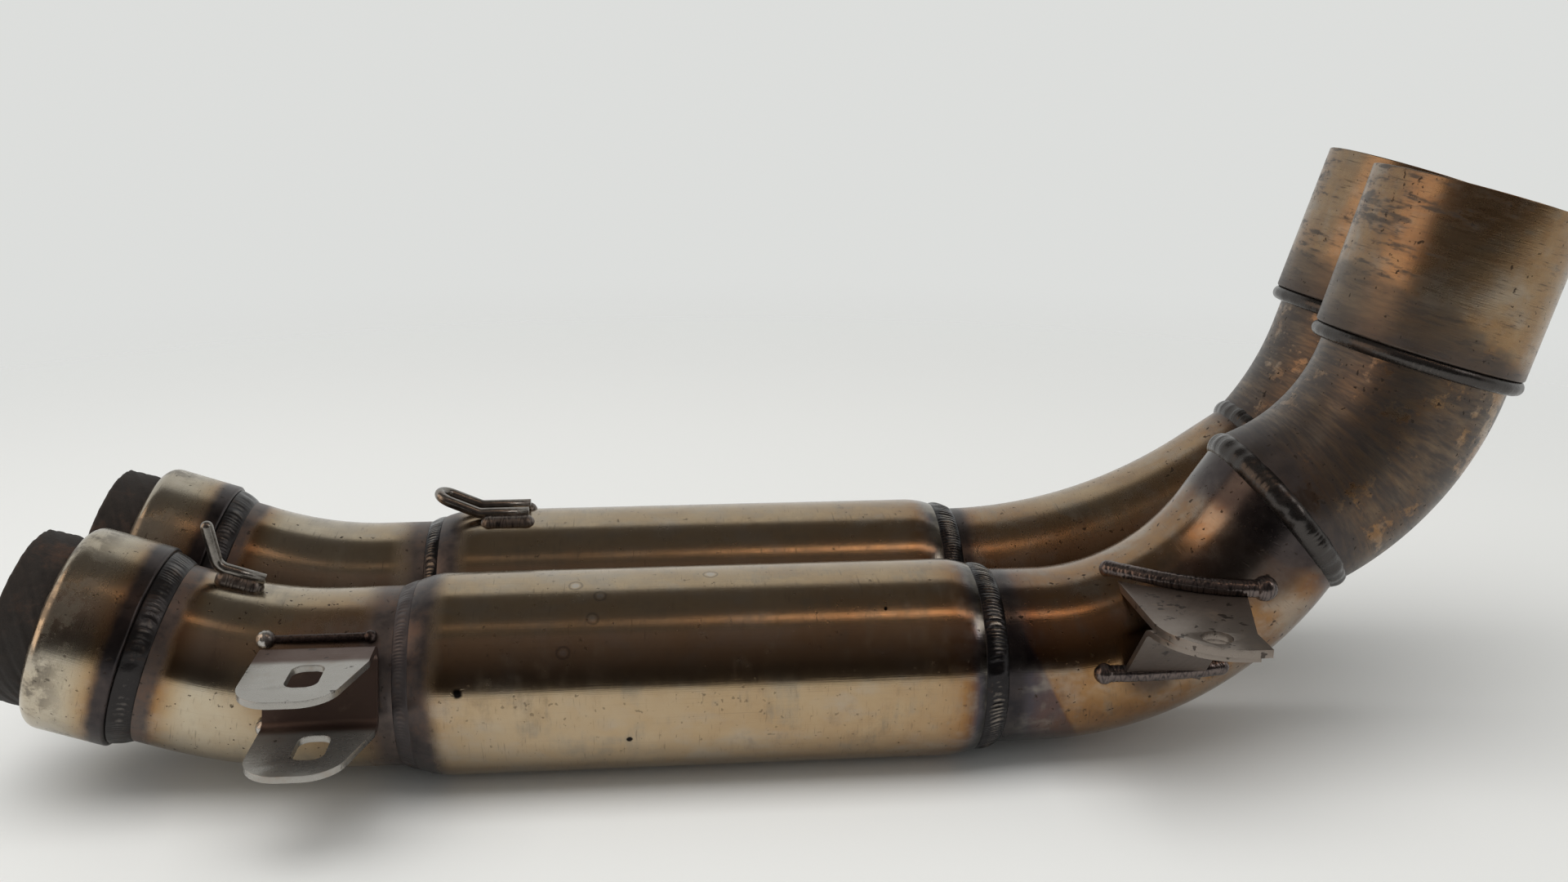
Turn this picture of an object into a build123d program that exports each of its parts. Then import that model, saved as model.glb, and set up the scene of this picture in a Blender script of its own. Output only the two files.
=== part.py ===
from build123d import *
from dataclasses import dataclass
from math import asin, cos, degrees, radians, sin, sqrt, tan
import os

# Twin motorcycle exhaust header: two steel pipes side by side, each with a slip socket and gasket
# at its inlet, a catalyst canister, a rising lower bend, an outlet bend and an outlet sleeve.
# Sizes in millimetres, angles in degrees. X runs from the inlets to the outlets, Y from the outer
# pipe, which has the brackets, to the inner pipe, and Z up. The origin lies on the floor under the
# middle of the two canisters.

# Tubes
pipe_od = 53.8
outlet_tube_od = 55.6
wall = 1.5
fit_clearance = 0.1

# Canisters, their catalyst cores and the tie welds that hold the pair together
canister_od = 61.0
canister_length = 173.0
canister_gap = 0.9
shoulder_length = 12.0
neck_step = 0.7
core_length = 90.0
core_channel_r = 4.3
core_channel_pitch = 10.8
tie_weld_r = 4.0
tie_weld_height = 7.0
tie_weld_length = 24.0
tie_weld_inset = 40.0

# Inlets
gasket_proud = 12.0
gasket_grip = 13.0
gasket_bore = 45.0
gasket_edge = 1.2
socket_od = 60.6
socket_wall = 1.6
socket_length = 24.5
socket_lip_bore = 52.0
socket_lip_round = 4.2
socket_back_wall = 3.0
socket_back_round = 1.0
pipe_grip = 2.0

# Front bends, from the socket down to the canister
front_lead = 13.3
front_radius = 133.0
front_angle = 19.3

# Outlet sleeves
sleeve_od = 62.2
sleeve_length = 49.6
sleeve_round = 0.8

# Ring welds: how far each bead spreads along the pipe and how high it stands
socket_weld_spread = 6.4
socket_weld_bulge = 0.6
canister_front_weld_spread = 2.8
canister_front_weld_overlap = 1.8
canister_front_weld_height = 1.3
canister_rear_weld_spread = 4.2
canister_rear_weld_overlap = 3.0
canister_rear_weld_height = 2.3
sleeve_weld_spread = 3.8
sleeve_weld_height = 0.6
mitre_weld_r = 4.2
mitre_weld_height = 1.9
weld_end_swell = 1.06

# Front bracket: one folded strip with two slotted ears, beside the outer canister
bracket_sheet = 2.0
bracket_fold = 2.2
front_bracket_back = 6.2
front_bracket_width = 32.0
front_bracket_lean = 21.7
front_upper_ear = 18.5
front_lower_ear = -0.7
front_ear_reach = 61.5
front_ear_round = 11.0
front_ear_taper_width = 7.0
front_ear_taper_depth = 25.0
front_slot_width = 9.0
front_slot_length = 14.5
front_slot_round = 3.4
front_slot_reach = 45.3
front_slot_back = 15.5
front_weld_r = 2.5
front_weld_stand = 1.0
front_blob_r = 3.0
front_blob_inset = 2.6

# Rear bracket: an ear plate with a bolt hole, and a folded brace below it
rear_sheet = 2.4
brace_sheet = 1.8
brace_fold = 6.0
brace_slope = 50.0
brace_knee_reach = 43.5
brace_foot_reach = 20.0
brace_start = 20.6
brace_width = 24.5
brace_setback = 1.6
rear_ear_height = 28.0
rear_ear_start = 21.6
rear_ear_reach = 67.0
rear_ear_tip_width = 26.0
rear_ear_tip_depth = 11.0
rear_ear_root_width = 43.0
rear_ear_round = 22.0
rear_hole_r = 4.5
rear_hole_start = 35.4
rear_hole_reach = 57.5
rear_weld_r = 2.7
rear_blob_r = 3.9
rear_weld_lead = 1.4
rear_weld_inset = 3.0
rear_weld_rise = 1.9
brace_weld_height = 4.2
brace_weld_lead = 6.0
brace_blob_r = 3.2

# Spring hooks of round wire, each held by weld pads
hook_wire = 3.6
hook_fold = 4.4
front_hook_angle = 19.0
front_hook_foot = 14.0
front_hook_tip = 12.6
front_hook_rise = 62.0
front_hook_stand = 1.9
front_pad_length = 10.6
front_pad_inset = 3.0
front_pad_stand = 0.9
front_pad_r = 3.3
canister_hook_start = 14.5
canister_hook_foot = 16.5
canister_hook_spread = 9.0
canister_hook_tip = 14.5
canister_hook_rise = 24.0
canister_hook_stand = 0.2
canister_pad_start = 3.5
canister_pad_length = 12.0
canister_pad_stand = 0.3
canister_pad_r = 2.9
canister_pad_turn = 5.5
outlet_hook_angle = 36.0
outlet_hook_turn = 160.0
outlet_hook_foot = 12.0
outlet_hook_tip = 8.0
outlet_hook_rise = 65.0
outlet_hook_stand = 0.3
outlet_pad_start = 3.5
outlet_pad_length = 6.0
outlet_pad_stand = 0.4
outlet_pad_r = 2.9


@dataclass
class Station:
    """A place on a pipe's centreline and how steeply the pipe climbs there."""

    x: float
    y: float
    z: float
    climb: float

    def ahead(self, run):
        """The station a straight run further on."""
        angle = radians(self.climb)
        return Station(self.x + run * cos(angle), self.y, self.z + run * sin(angle), self.climb)

    def turned(self, radius, angle):
        """The station after a bend that lifts the heading by an angle."""
        start = radians(self.climb)
        end = radians(self.climb + angle)
        x = self.x + radius * (sin(end) - sin(start))
        z = self.z + radius * (cos(start) - cos(end))
        return Station(x, self.y, z, self.climb + angle)

    def before(self, radius, angle):
        """The station where a bend starts that ends here, having lifted the heading by an angle."""
        end = radians(self.climb)
        start = radians(self.climb - angle)
        x = self.x - radius * (sin(end) - sin(start))
        z = self.z - radius * (cos(start) - cos(end))
        return Station(x, self.y, z, self.climb - angle)

    def kinked(self, angle):
        """The same place with the heading changed at once, as at a mitre."""
        return Station(self.x, self.y, self.z, self.climb + angle)

    def place(self, along, out):
        """The point that lies along the heading and out from it, in the pipe's own plane."""
        angle = radians(self.climb)
        x = self.x + along * cos(angle) - out * sin(angle)
        z = self.z + along * sin(angle) + out * cos(angle)
        return Vector(x, self.y, z)

    def across(self):
        """The plane square to the centreline, with its X from pipe to pipe."""
        return Plane(self.place(0, 0), x_dir=(0, 1, 0), z_dir=self.place(1, 0) - self.place(0, 0))

    def around(self, turn):
        """The plane through the centreline whose Y points out of the pipe, turned round it from the top."""
        heading = self.place(1, 0) - self.place(0, 0)
        up = self.place(0, 1) - self.place(0, 0)
        out = up * cos(radians(turn)) + Vector(0, 1, 0) * sin(radians(turn))
        return Plane(self.place(0, 0), x_dir=heading, z_dir=heading.cross(out))

    def beside(self):
        """The plane for turned outlines: X along the centreline, Y out from it."""
        return self.around(0)

    def axis(self):
        """The centreline here, to revolve about."""
        return Axis(self.place(0, 0), self.place(1, 0) - self.place(0, 0))


@dataclass
class Pipe:
    """One pipe of the pair, with the bends that differ between the two."""

    name: str
    side: int
    front_run: float
    rear_run: float
    lower_radius: float
    lower_angle: float
    lower_tail: float
    kink: float
    upper_radius: float
    upper_angle: float
    upper_tail: float

    def lay_out(self):
        """Walk the centreline both ways from the canister and note its stations."""
        aside = self.side * (canister_od + canister_gap) / 2
        self.can_front = Station(-canister_length / 2, aside, canister_od / 2, 0)
        self.can_rear = self.can_front.ahead(canister_length)
        self.front_end = self.can_front.ahead(-self.front_run)
        self.front_start = self.front_end.before(front_radius, front_angle)
        self.socket_back = self.front_start.ahead(-front_lead)
        self.socket_mouth = self.socket_back.ahead(-socket_length)
        self.gasket_mouth = self.socket_mouth.ahead(-gasket_proud)
        self.lower_start = self.can_rear.ahead(self.rear_run)
        self.lower_end = self.lower_start.turned(self.lower_radius, self.lower_angle)
        self.joint = self.lower_end.ahead(self.lower_tail)
        self.mitre = self.joint.kinked(self.kink / 2)
        self.upper_start = self.joint.kinked(self.kink)
        self.upper_end = self.upper_start.turned(self.upper_radius, self.upper_angle)
        self.sleeve_foot = self.upper_end.ahead(self.upper_tail)
        self.spare = outlet_tube_od * tan(radians(abs(self.kink) / 2)) + wall


outer = Pipe(
    name="outer",
    side=-1,
    front_run=21.8,
    rear_run=18.4,
    lower_radius=82.5,
    lower_angle=55.4,
    lower_tail=12.0,
    kink=-31.2,
    upper_radius=71.2,
    upper_angle=50.2,
    upper_tail=4.5,
)
inner = Pipe(
    name="inner",
    side=1,
    front_run=18.8,
    rear_run=3.5,
    lower_radius=177.5,
    lower_angle=33.4,
    lower_tail=21.9,
    kink=14.2,
    upper_radius=112.2,
    upper_angle=25.3,
    upper_tail=12.0,
)

pipe_r = pipe_od / 2
outlet_r = outlet_tube_od / 2
canister_r = canister_od / 2
sleeve_r = sleeve_od / 2
socket_r = socket_od / 2
shoulder_drop = canister_r - pipe_r - neck_step
shoulder_arc = (shoulder_length**2 + shoulder_drop**2) / (2 * shoulder_drop)

os.makedirs("parts", exist_ok=True)


def keep(piece, name):
    """Label a finished piece and write it."""
    piece.part.label = name
    export_step(piece.part, f"parts/{name}.step")


def corner(along, out):
    """The corner of the outline being drawn that lies nearest to a point."""
    return vertices().sort_by_distance((along, out, 0))[0]


def swept(start, route, radius, bore=0):
    """A round bar, or a tube where it has a bore, along runs (length,) and bends (radius, angle)."""
    with BuildPart() as bar:
        with BuildLine(Plane.XZ.offset(-start.y)):
            here = start
            for step in route:
                if len(step) == 1:
                    there = here.ahead(*step)
                    Line((here.x, here.z), (there.x, there.z))
                else:
                    there = here.turned(*step)
                    heading = (cos(radians(here.climb)), sin(radians(here.climb)))
                    JernArc((here.x, here.z), heading, radius=step[0], arc_size=step[1])
                here = there
        with BuildSketch(start.across()):
            Circle(radius)
            if bore:
                Circle(bore, mode=Mode.SUBTRACT)
        sweep()
    return bar


def front_tube(pipe, bore=0):
    """The front bend: from inside the socket's back wall down to the canister's front edge."""
    lead = pipe_grip + socket_back_wall + front_lead
    start = pipe.front_start.ahead(-lead)
    return swept(start, [(lead,), (front_radius, front_angle), (pipe.front_run,)], pipe_r, bore)


def lower_tube(pipe, bore=0):
    """The lower bend: from the canister's rear edge up to the mitre."""
    bend = (pipe.lower_radius, pipe.lower_angle)
    bar = swept(pipe.can_rear, [(pipe.rear_run,), bend, (pipe.lower_tail + pipe.spare,)], pipe_r, bore)
    with bar:
        split(bisect_by=pipe.mitre.across(), keep=Keep.BOTTOM)
    return bar


def upper_tube(pipe, bore=0):
    """The outlet bend: from the mitre up into the sleeve's foot."""
    start = pipe.upper_start.ahead(-pipe.spare)
    bend = (pipe.upper_radius, pipe.upper_angle)
    tail = pipe.upper_tail + wall
    bar = swept(start, [(pipe.spare,), bend, (tail,)], outlet_r, bore)
    with bar:
        split(bisect_by=pipe.mitre.across(), keep=Keep.TOP)
    return bar


def inlet_gasket(pipe):
    """The pressed graphite ring: a collar held behind the socket's lip and a proud nose."""
    nose_r = socket_lip_bore / 2 - fit_clearance
    collar_r = socket_r - socket_wall - fit_clearance
    collar = gasket_proud + socket_lip_round + fit_clearance
    with BuildPart() as gasket:
        with BuildSketch(pipe.gasket_mouth.beside()):
            with BuildLine():
                Polyline(
                    (0, gasket_bore / 2),
                    (0, nose_r),
                    (collar, nose_r),
                    (collar, collar_r),
                    (collar + gasket_grip, collar_r),
                    (collar + gasket_grip, gasket_bore / 2),
                    close=True,
                )
            make_face()
            fillet(corner(0, nose_r), gasket_edge)
        revolve(axis=pipe.gasket_mouth.axis())
    return gasket


def inlet_socket(pipe):
    """The slip socket: a thin cup with a rolled lip at its mouth and a bored back wall."""
    back = socket_length - socket_back_wall
    inside_r = socket_r - socket_wall
    with BuildPart() as socket:
        with BuildSketch(pipe.socket_mouth.beside()):
            with BuildLine():
                Polyline(
                    (0, socket_lip_bore / 2),
                    (0, socket_r),
                    (socket_length, socket_r),
                    (socket_length, pipe_r + fit_clearance),
                    (back, pipe_r + fit_clearance),
                    (back, inside_r),
                    (socket_wall, inside_r),
                    (socket_wall, socket_lip_bore / 2),
                    close=True,
                )
            make_face()
            fillet(corner(0, socket_r), socket_lip_round)
            fillet(corner(socket_wall, inside_r), socket_lip_round - socket_wall)
            fillet(corner(socket_length, socket_r), socket_back_round)
        revolve(axis=pipe.socket_mouth.axis())
    return socket


def inlet_weld(pipe):
    """The wide bead that closes the step from the socket's back down to the pipe."""
    top = socket_r - socket_back_round
    crown = (top + pipe_r) / 2 + socket_weld_bulge
    with BuildPart() as weld:
        with BuildSketch(pipe.socket_back.beside()):
            with BuildLine():
                Line((0, pipe_r), (0, top))
                ThreePointArc((0, top), (socket_weld_spread / 2, crown), (socket_weld_spread, pipe_r))
                Line((socket_weld_spread, pipe_r), (0, pipe_r))
            make_face()
        revolve(axis=pipe.socket_back.axis())
    return weld


def canister_shell(pipe):
    """The canister's skin, spun down at both ends to meet the pipe."""
    inside_r = canister_r - wall
    far = canister_length - shoulder_length
    with BuildPart() as shell:
        with BuildSketch(pipe.can_front.beside()):
            with BuildLine():
                for radius in (canister_r, inside_r):
                    edge = radius - shoulder_drop
                    TangentArc((shoulder_length, radius), (0, edge), tangent=(-1, 0))
                    Line((shoulder_length, radius), (far, radius))
                    TangentArc((far, radius), (canister_length, edge), tangent=(1, 0))
                for end in (0, canister_length):
                    Line((end, canister_r - shoulder_drop), (end, inside_r - shoulder_drop))
            make_face()
        revolve(axis=pipe.can_front.axis())
    return shell


def shoulder_radius(along):
    """The canister's outer radius at a distance in from its edge."""
    return canister_r - shoulder_arc + sqrt(shoulder_arc**2 - (shoulder_length - along) ** 2)


def canister_weld(station, way, spread, overlap, height):
    """The bead between a canister's edge and the pipe; way is 1 at its front and -1 at its rear."""
    on_shell = overlap
    on_pipe = -spread
    edge_r = canister_r - shoulder_drop
    middle = (on_shell + on_pipe) / 2
    with BuildPart() as weld:
        with BuildSketch(station.beside()):
            with BuildLine():
                Line((way * on_pipe, pipe_r), (0, pipe_r))
                Line((0, pipe_r), (0, edge_r))
                ThreePointArc(
                    (0, edge_r),
                    (way * on_shell / 2, shoulder_radius(on_shell / 2)),
                    (way * on_shell, shoulder_radius(on_shell)),
                )
                ThreePointArc(
                    (way * on_shell, shoulder_radius(on_shell)),
                    (way * middle, pipe_r + height),
                    (way * on_pipe, pipe_r),
                )
            make_face()
        revolve(axis=station.axis())
    return weld


def catalyst_core(pipe):
    """The catalyst's foil body, with its passages drawn as a few wide channels."""
    start = pipe.can_front.ahead((canister_length - core_length) / 2)
    with BuildPart() as core:
        with BuildSketch(start.across()):
            Circle(canister_r - wall - fit_clearance)
            Circle(core_channel_r, mode=Mode.SUBTRACT)
            for ring in (1, 2):
                with PolarLocations(ring * core_channel_pitch, 6 * ring):
                    Circle(core_channel_r, mode=Mode.SUBTRACT)
        extrude(amount=core_length)
    return core


def mitre_weld(pipe, below, above):
    """The raised bead round the slanting joint, seated on the tubes below and above it."""
    slant = cos(radians(pipe.kink / 2))
    joint_r = (pipe_r + outlet_r) / 2 * (1 + 1 / slant) / 2
    with BuildPart() as weld:
        with BuildSketch(pipe.mitre.beside()):
            with Locations((0, joint_r + mitre_weld_height - mitre_weld_r)):
                Circle(mitre_weld_r)
        revolve(axis=pipe.mitre.axis())
        add(below.part, mode=Mode.SUBTRACT)
        add(above.part, mode=Mode.SUBTRACT)
    return weld


def outlet_sleeve(pipe):
    """The sleeve that the silencer slips into, turned in at its foot to grip the outlet tube."""
    with BuildPart() as sleeve:
        with BuildSketch(pipe.sleeve_foot.beside()):
            with BuildLine():
                Polyline(
                    (0, outlet_r + fit_clearance),
                    (0, sleeve_r),
                    (sleeve_length, sleeve_r),
                    (sleeve_length, sleeve_r - wall),
                    (wall, sleeve_r - wall),
                    (wall, outlet_r + fit_clearance),
                    close=True,
                )
            make_face()
            fillet(corner(0, sleeve_r), sleeve_round)
        revolve(axis=pipe.sleeve_foot.axis())
    return sleeve


def outlet_weld(pipe):
    """The rounded bead under the sleeve's foot."""
    top = sleeve_r - sleeve_round
    with BuildPart() as weld:
        with BuildSketch(pipe.sleeve_foot.beside()):
            with BuildLine():
                Line((0, outlet_r), (0, top))
                ThreePointArc(
                    (0, top),
                    (-sleeve_weld_spread * 0.45, sleeve_r + sleeve_weld_height),
                    (-sleeve_weld_spread, outlet_r),
                )
                Line((-sleeve_weld_spread, outlet_r), (0, outlet_r))
            make_face()
        revolve(axis=pipe.sleeve_foot.axis())
    return weld


def bead(plane, length, radius, end_r):
    """A straight run of weld along the plane's X from its origin, with swollen round ends."""
    meet = sqrt(end_r**2 - radius**2)
    with BuildPart() as run:
        with BuildSketch(plane):
            with BuildLine():
                ThreePointArc((-end_r, 0), (0, end_r), (meet, radius))
                Line((meet, radius), (length - meet, radius))
                ThreePointArc((length - meet, radius), (length, end_r), (length + end_r, 0))
                Line((length + end_r, 0), (-end_r, 0))
            make_face()
        revolve(axis=Axis(plane.origin, plane.x_dir))
    return run


# The two pipes, inlet to outlet
for pipe in (outer, inner):
    pipe.lay_out()
    pipe.front_bar = front_tube(pipe)
    pipe.lower_bar = lower_tube(pipe)
    pipe.upper_bar = upper_tube(pipe)
    keep(inlet_gasket(pipe), f"{pipe.name}_inlet_gasket")
    keep(inlet_socket(pipe), f"{pipe.name}_inlet_socket")
    keep(inlet_weld(pipe), f"{pipe.name}_inlet_weld")
    keep(front_tube(pipe, pipe_r - wall), f"{pipe.name}_front_bend")
    front_weld = canister_weld(
        pipe.can_front,
        1,
        canister_front_weld_spread,
        canister_front_weld_overlap,
        canister_front_weld_height,
    )
    keep(front_weld, f"{pipe.name}_canister_front_weld")
    keep(canister_shell(pipe), f"{pipe.name}_canister_shell")
    keep(catalyst_core(pipe), f"{pipe.name}_catalyst_core")
    rear_weld = canister_weld(
        pipe.can_rear,
        -1,
        canister_rear_weld_spread,
        canister_rear_weld_overlap,
        canister_rear_weld_height,
    )
    keep(rear_weld, f"{pipe.name}_canister_rear_weld")
    keep(lower_tube(pipe, pipe_r - wall), f"{pipe.name}_lower_bend")
    keep(mitre_weld(pipe, pipe.lower_bar, pipe.upper_bar), f"{pipe.name}_mitre_weld")
    keep(upper_tube(pipe, outlet_r - wall), f"{pipe.name}_outlet_bend")
    keep(outlet_weld(pipe), f"{pipe.name}_outlet_weld")
    keep(outlet_sleeve(pipe), f"{pipe.name}_outlet_sleeve")

# Tie welds in the valley between the canisters
with BuildPart() as tie_welds:
    for middle in (tie_weld_inset - canister_length / 2, canister_length / 2 - tie_weld_inset):
        with BuildSketch(Plane.YZ.offset(middle - tie_weld_length / 2)):
            with Locations((0, canister_r + tie_weld_height)):
                Circle(tie_weld_r)
        extrude(amount=tie_weld_length)
    for pipe in (outer, inner):
        with BuildSketch(pipe.can_front.across()):
            Circle(canister_r)
        extrude(amount=canister_length, mode=Mode.SUBTRACT)
keep(tie_welds, "tie_welds")

# Front bracket: a strip folded round the outer pipe's side, its web leaning on the tube
bracket_end = outer.can_front.x - front_bracket_back
bracket_start = bracket_end - front_bracket_width
axis_y = outer.can_front.y
axis_z = outer.can_front.z
web_r = pipe_r + fit_clearance + bracket_sheet
web_y = -web_r * cos(radians(front_bracket_lean))
web_z = web_r * sin(radians(front_bracket_lean))


def web_at(height):
    """The point on the web's outer face at a height over the pipe's axis."""
    return (axis_y + web_y + (height - web_z) * tan(radians(front_bracket_lean)), axis_z + height)


with BuildPart() as front_bracket:
    with BuildSketch(Plane.YZ.offset(bracket_start)):
        with BuildLine():
            FilletPolyline(
                (axis_y - front_ear_reach, axis_z + front_upper_ear),
                web_at(front_upper_ear),
                web_at(front_lower_ear),
                (axis_y - front_ear_reach, axis_z + front_lower_ear),
                radius=bracket_fold,
            )
            offset(amount=bracket_sheet, side=Side.LEFT)
        make_face()
    extrude(amount=front_bracket_width)
    ear_front = axis_y - front_ear_reach
    ear_taper = bracket_end - front_ear_taper_width
    with BuildSketch(Plane.XY):
        with BuildLine():
            Polyline(
                (bracket_start, axis_y),
                (bracket_start, ear_front),
                (ear_taper, ear_front),
                (bracket_end, ear_front + front_ear_taper_depth),
                (bracket_end, axis_y),
                close=True,
            )
        make_face()
        fillet(corner(bracket_start, ear_front), front_ear_round)
        fillet(corner(ear_taper, ear_front), front_ear_round)
    extrude(amount=canister_od, mode=Mode.INTERSECT)
    with BuildSketch(Plane.XY):
        with Locations((bracket_end - front_slot_back, axis_y - front_slot_reach)):
            RectangleRounded(front_slot_width, front_slot_length, front_slot_round)
    extrude(amount=canister_od, mode=Mode.SUBTRACT)
    add(outer.front_bar.part, mode=Mode.SUBTRACT)
keep(front_bracket, "front_bracket")

for name, height in (
    ("upper", front_upper_ear + bracket_sheet),
    ("lower", front_lower_ear - bracket_sheet),
):
    bead_r = pipe_r + front_weld_stand
    turn = asin(height / bead_r)
    bead_y = axis_y - bead_r * cos(turn)
    bead_z = axis_z + height
    bead_start = Plane((bracket_start, bead_y, bead_z), x_dir=(1, 0, 0), z_dir=(0, 0, 1))
    front_bracket_weld = bead(bead_start, front_bracket_width - front_blob_inset, front_weld_r, front_blob_r)
    with front_bracket_weld:
        add(front_bracket.part, mode=Mode.SUBTRACT)
        add(outer.front_bar.part, mode=Mode.SUBTRACT)
    keep(front_bracket_weld, f"front_bracket_{name}_weld")

# Rear bracket: the ear plate stands out level from the outer pipe's lower bend
bend_x = outer.lower_start.x
bend_z = outer.lower_start.z
ear_top = bend_z + rear_ear_height
ear_under = ear_top - rear_sheet
ear_left = bend_x + rear_ear_start
ear_front = axis_y - rear_ear_reach


def bend_side(x, z):
    """The point on the side of the outer pipe's lower bend at a given x and z."""
    centre_z = bend_z + outer.lower_radius
    inward = outer.lower_radius - sqrt((x - bend_x) ** 2 + (centre_z - z) ** 2)
    return Vector(x, axis_y - sqrt(pipe_r**2 - inward**2), z)


with BuildPart() as rear_ear:
    with BuildSketch(Plane.XY.offset(ear_under)):
        with BuildLine():
            tip = ear_left + rear_ear_tip_width
            root = ear_left + rear_ear_root_width
            Polyline(
                (ear_left, axis_y),
                (ear_left, ear_front),
                (tip, ear_front),
                (tip, ear_front + rear_ear_tip_depth),
                (root, axis_y),
                close=True,
            )
        make_face()
        fillet(corner(ear_left, ear_front), rear_ear_round)
        with Locations((bend_x + rear_hole_start, axis_y - rear_hole_reach)):
            Circle(rear_hole_r, mode=Mode.SUBTRACT)
    extrude(amount=rear_sheet)
    add(outer.lower_bar.part, mode=Mode.SUBTRACT)
keep(rear_ear, "rear_bracket_ear")

with BuildPart() as rear_brace:
    knee = axis_y - brace_knee_reach
    foot_drop = (brace_knee_reach - brace_foot_reach) * tan(radians(brace_slope))
    foot = (axis_y - brace_foot_reach, ear_under - foot_drop)
    with BuildSketch(Plane.YZ.offset(bend_x + brace_start)):
        with BuildLine():
            FilletPolyline(foot, (knee, ear_under), (ear_front + brace_setback, ear_under), radius=brace_fold)
            offset(amount=brace_sheet, side=Side.LEFT)
        make_face()
    extrude(amount=brace_width)
    with BuildSketch(Plane.XY):
        with BuildLine():
            brace_left = bend_x + brace_start
            brace_right = brace_left + brace_width
            brace_front = ear_front + brace_setback
            Polyline(
                (brace_left, axis_y),
                (brace_left, brace_front),
                (brace_right, brace_front),
                (brace_right, axis_y),
                close=True,
            )
        make_face()
        fillet(corner(brace_left, brace_front), rear_ear_round)
        with Locations((bend_x + rear_hole_start, axis_y - rear_hole_reach)):
            Circle(rear_hole_r, mode=Mode.SUBTRACT)
    extrude(amount=ear_top, mode=Mode.INTERSECT)
    add(outer.lower_bar.part, mode=Mode.SUBTRACT)
keep(rear_brace, "rear_bracket_brace")

for name, seats, places, bead_z, bead_r, blob_r, blob_at in (
    (
        "rear_bracket_ear_weld",
        (rear_ear,),
        (ear_left - rear_weld_lead, ear_left + rear_ear_root_width / 2, root - rear_weld_inset),
        ear_top + rear_weld_rise,
        rear_weld_r,
        rear_blob_r,
        2,
    ),
    (
        "rear_bracket_brace_weld",
        (rear_brace,),
        (brace_left - brace_weld_lead, brace_left + brace_width / 2, brace_right + brace_weld_lead),
        bend_z + brace_weld_height,
        rear_weld_r,
        brace_blob_r,
        0,
    ),
):
    points = [bend_side(x, bead_z) for x in places]
    with BuildPart() as rear_weld:
        with BuildLine():
            seam = ThreePointArc(*points)
        with BuildSketch(Plane(origin=seam @ 0, z_dir=seam % 0)):
            Circle(bead_r)
        sweep()
        for place, round_r in ((points[blob_at], blob_r), (points[2 - blob_at], bead_r * weld_end_swell)):
            with Locations(place):
                Sphere(round_r, rotation=(90, 0, 0))
        add(outer.lower_bar.part, mode=Mode.SUBTRACT)
        for seat in seats:
            add(seat.part, mode=Mode.SUBTRACT)
    keep(rear_weld, name)


def wire_hook(plane, foot, tip, rise, height):
    """A hook of round wire: a foot along the pipe at a height over its axis, and a tip bent up."""
    lift = radians(rise)
    with BuildPart() as hook:
        with BuildLine(plane) as bend:
            FilletPolyline(
                (foot, height),
                (0, height),
                (-tip * cos(lift), height + tip * sin(lift)),
                radius=hook_fold,
            )
        with BuildSketch(Plane(origin=bend.line @ 0, z_dir=bend.line % 0)):
            Circle(hook_wire / 2)
        sweep()
        with Locations(bend.line @ 1):
            Sphere(hook_wire / 2)
    return hook


def weld_pad(plane, start, end, seat, radius, cuts):
    """A round-ended run of weld on a pipe's skin, against what it holds."""
    pad_start = Plane(plane.from_local_coords((start, seat, 0)), x_dir=plane.x_dir, z_dir=plane.z_dir * -1)
    pad = bead(pad_start, end - start, radius, radius * weld_end_swell)
    with pad:
        for cut in cuts:
            add(cut.part, mode=Mode.SUBTRACT)
    return pad


# Front spring hook, standing on its weld over the outer pipe's front bend
hook_plane = outer.front_end.before(front_radius, front_hook_angle).beside()
hook_height = pipe_r + front_hook_stand + hook_wire / 2
front_hook = wire_hook(hook_plane, front_hook_foot, front_hook_tip, front_hook_rise, hook_height)
keep(front_hook, "front_hook")
front_hook_weld = weld_pad(
    hook_plane,
    front_hook_foot - front_pad_length,
    front_hook_foot - front_pad_inset,
    pipe_r + front_pad_stand,
    front_pad_r,
    (outer.front_bar, front_hook),
)
keep(front_hook_weld, "front_hook_weld")

# Canister hook: a hairpin of wire lying on the inner canister, its closed end raised
leg_r = canister_r + hook_wire / 2 + canister_hook_stand
leg_turn = degrees(asin(canister_hook_spread / 2 / leg_r))
leg_height = leg_r * cos(radians(leg_turn))
hook_lift = radians(canister_hook_rise)
leg_start = inner.can_front.x + canister_hook_start
leg_end = leg_start + canister_hook_foot
loop_end = leg_start - canister_hook_tip * cos(hook_lift)
leg_z = inner.can_front.z + leg_height
loop_z = leg_z + canister_hook_tip * sin(hook_lift)
near_leg = inner.can_front.y - canister_hook_spread / 2
far_leg = inner.can_front.y + canister_hook_spread / 2
with BuildPart() as canister_hook:
    with BuildLine() as hairpin:
        FilletPolyline(
            (leg_end, near_leg, leg_z),
            (leg_start, near_leg, leg_z),
            (loop_end, near_leg, loop_z),
            (loop_end, far_leg, loop_z),
            (leg_start, far_leg, leg_z),
            (leg_end, far_leg, leg_z),
            radius=hook_fold,
        )
    with BuildSketch(Plane(origin=hairpin.line @ 0, z_dir=hairpin.line % 0)):
        Circle(hook_wire / 2)
    sweep()
keep(canister_hook, "canister_hook")

with BuildPart() as inner_canister:
    with BuildSketch(inner.can_front.across()):
        Circle(canister_r)
    extrude(amount=canister_length)
for name, turn in (("near", -1), ("far", 1)):
    canister_hook_weld = weld_pad(
        inner.can_front.around(turn * (leg_turn + canister_pad_turn)),
        canister_hook_start + canister_pad_start,
        canister_hook_start + canister_pad_start + canister_pad_length,
        canister_r + canister_pad_stand,
        canister_pad_r,
        (inner_canister, canister_hook),
    )
    keep(canister_hook_weld, f"canister_hook_{name}_weld")

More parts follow.
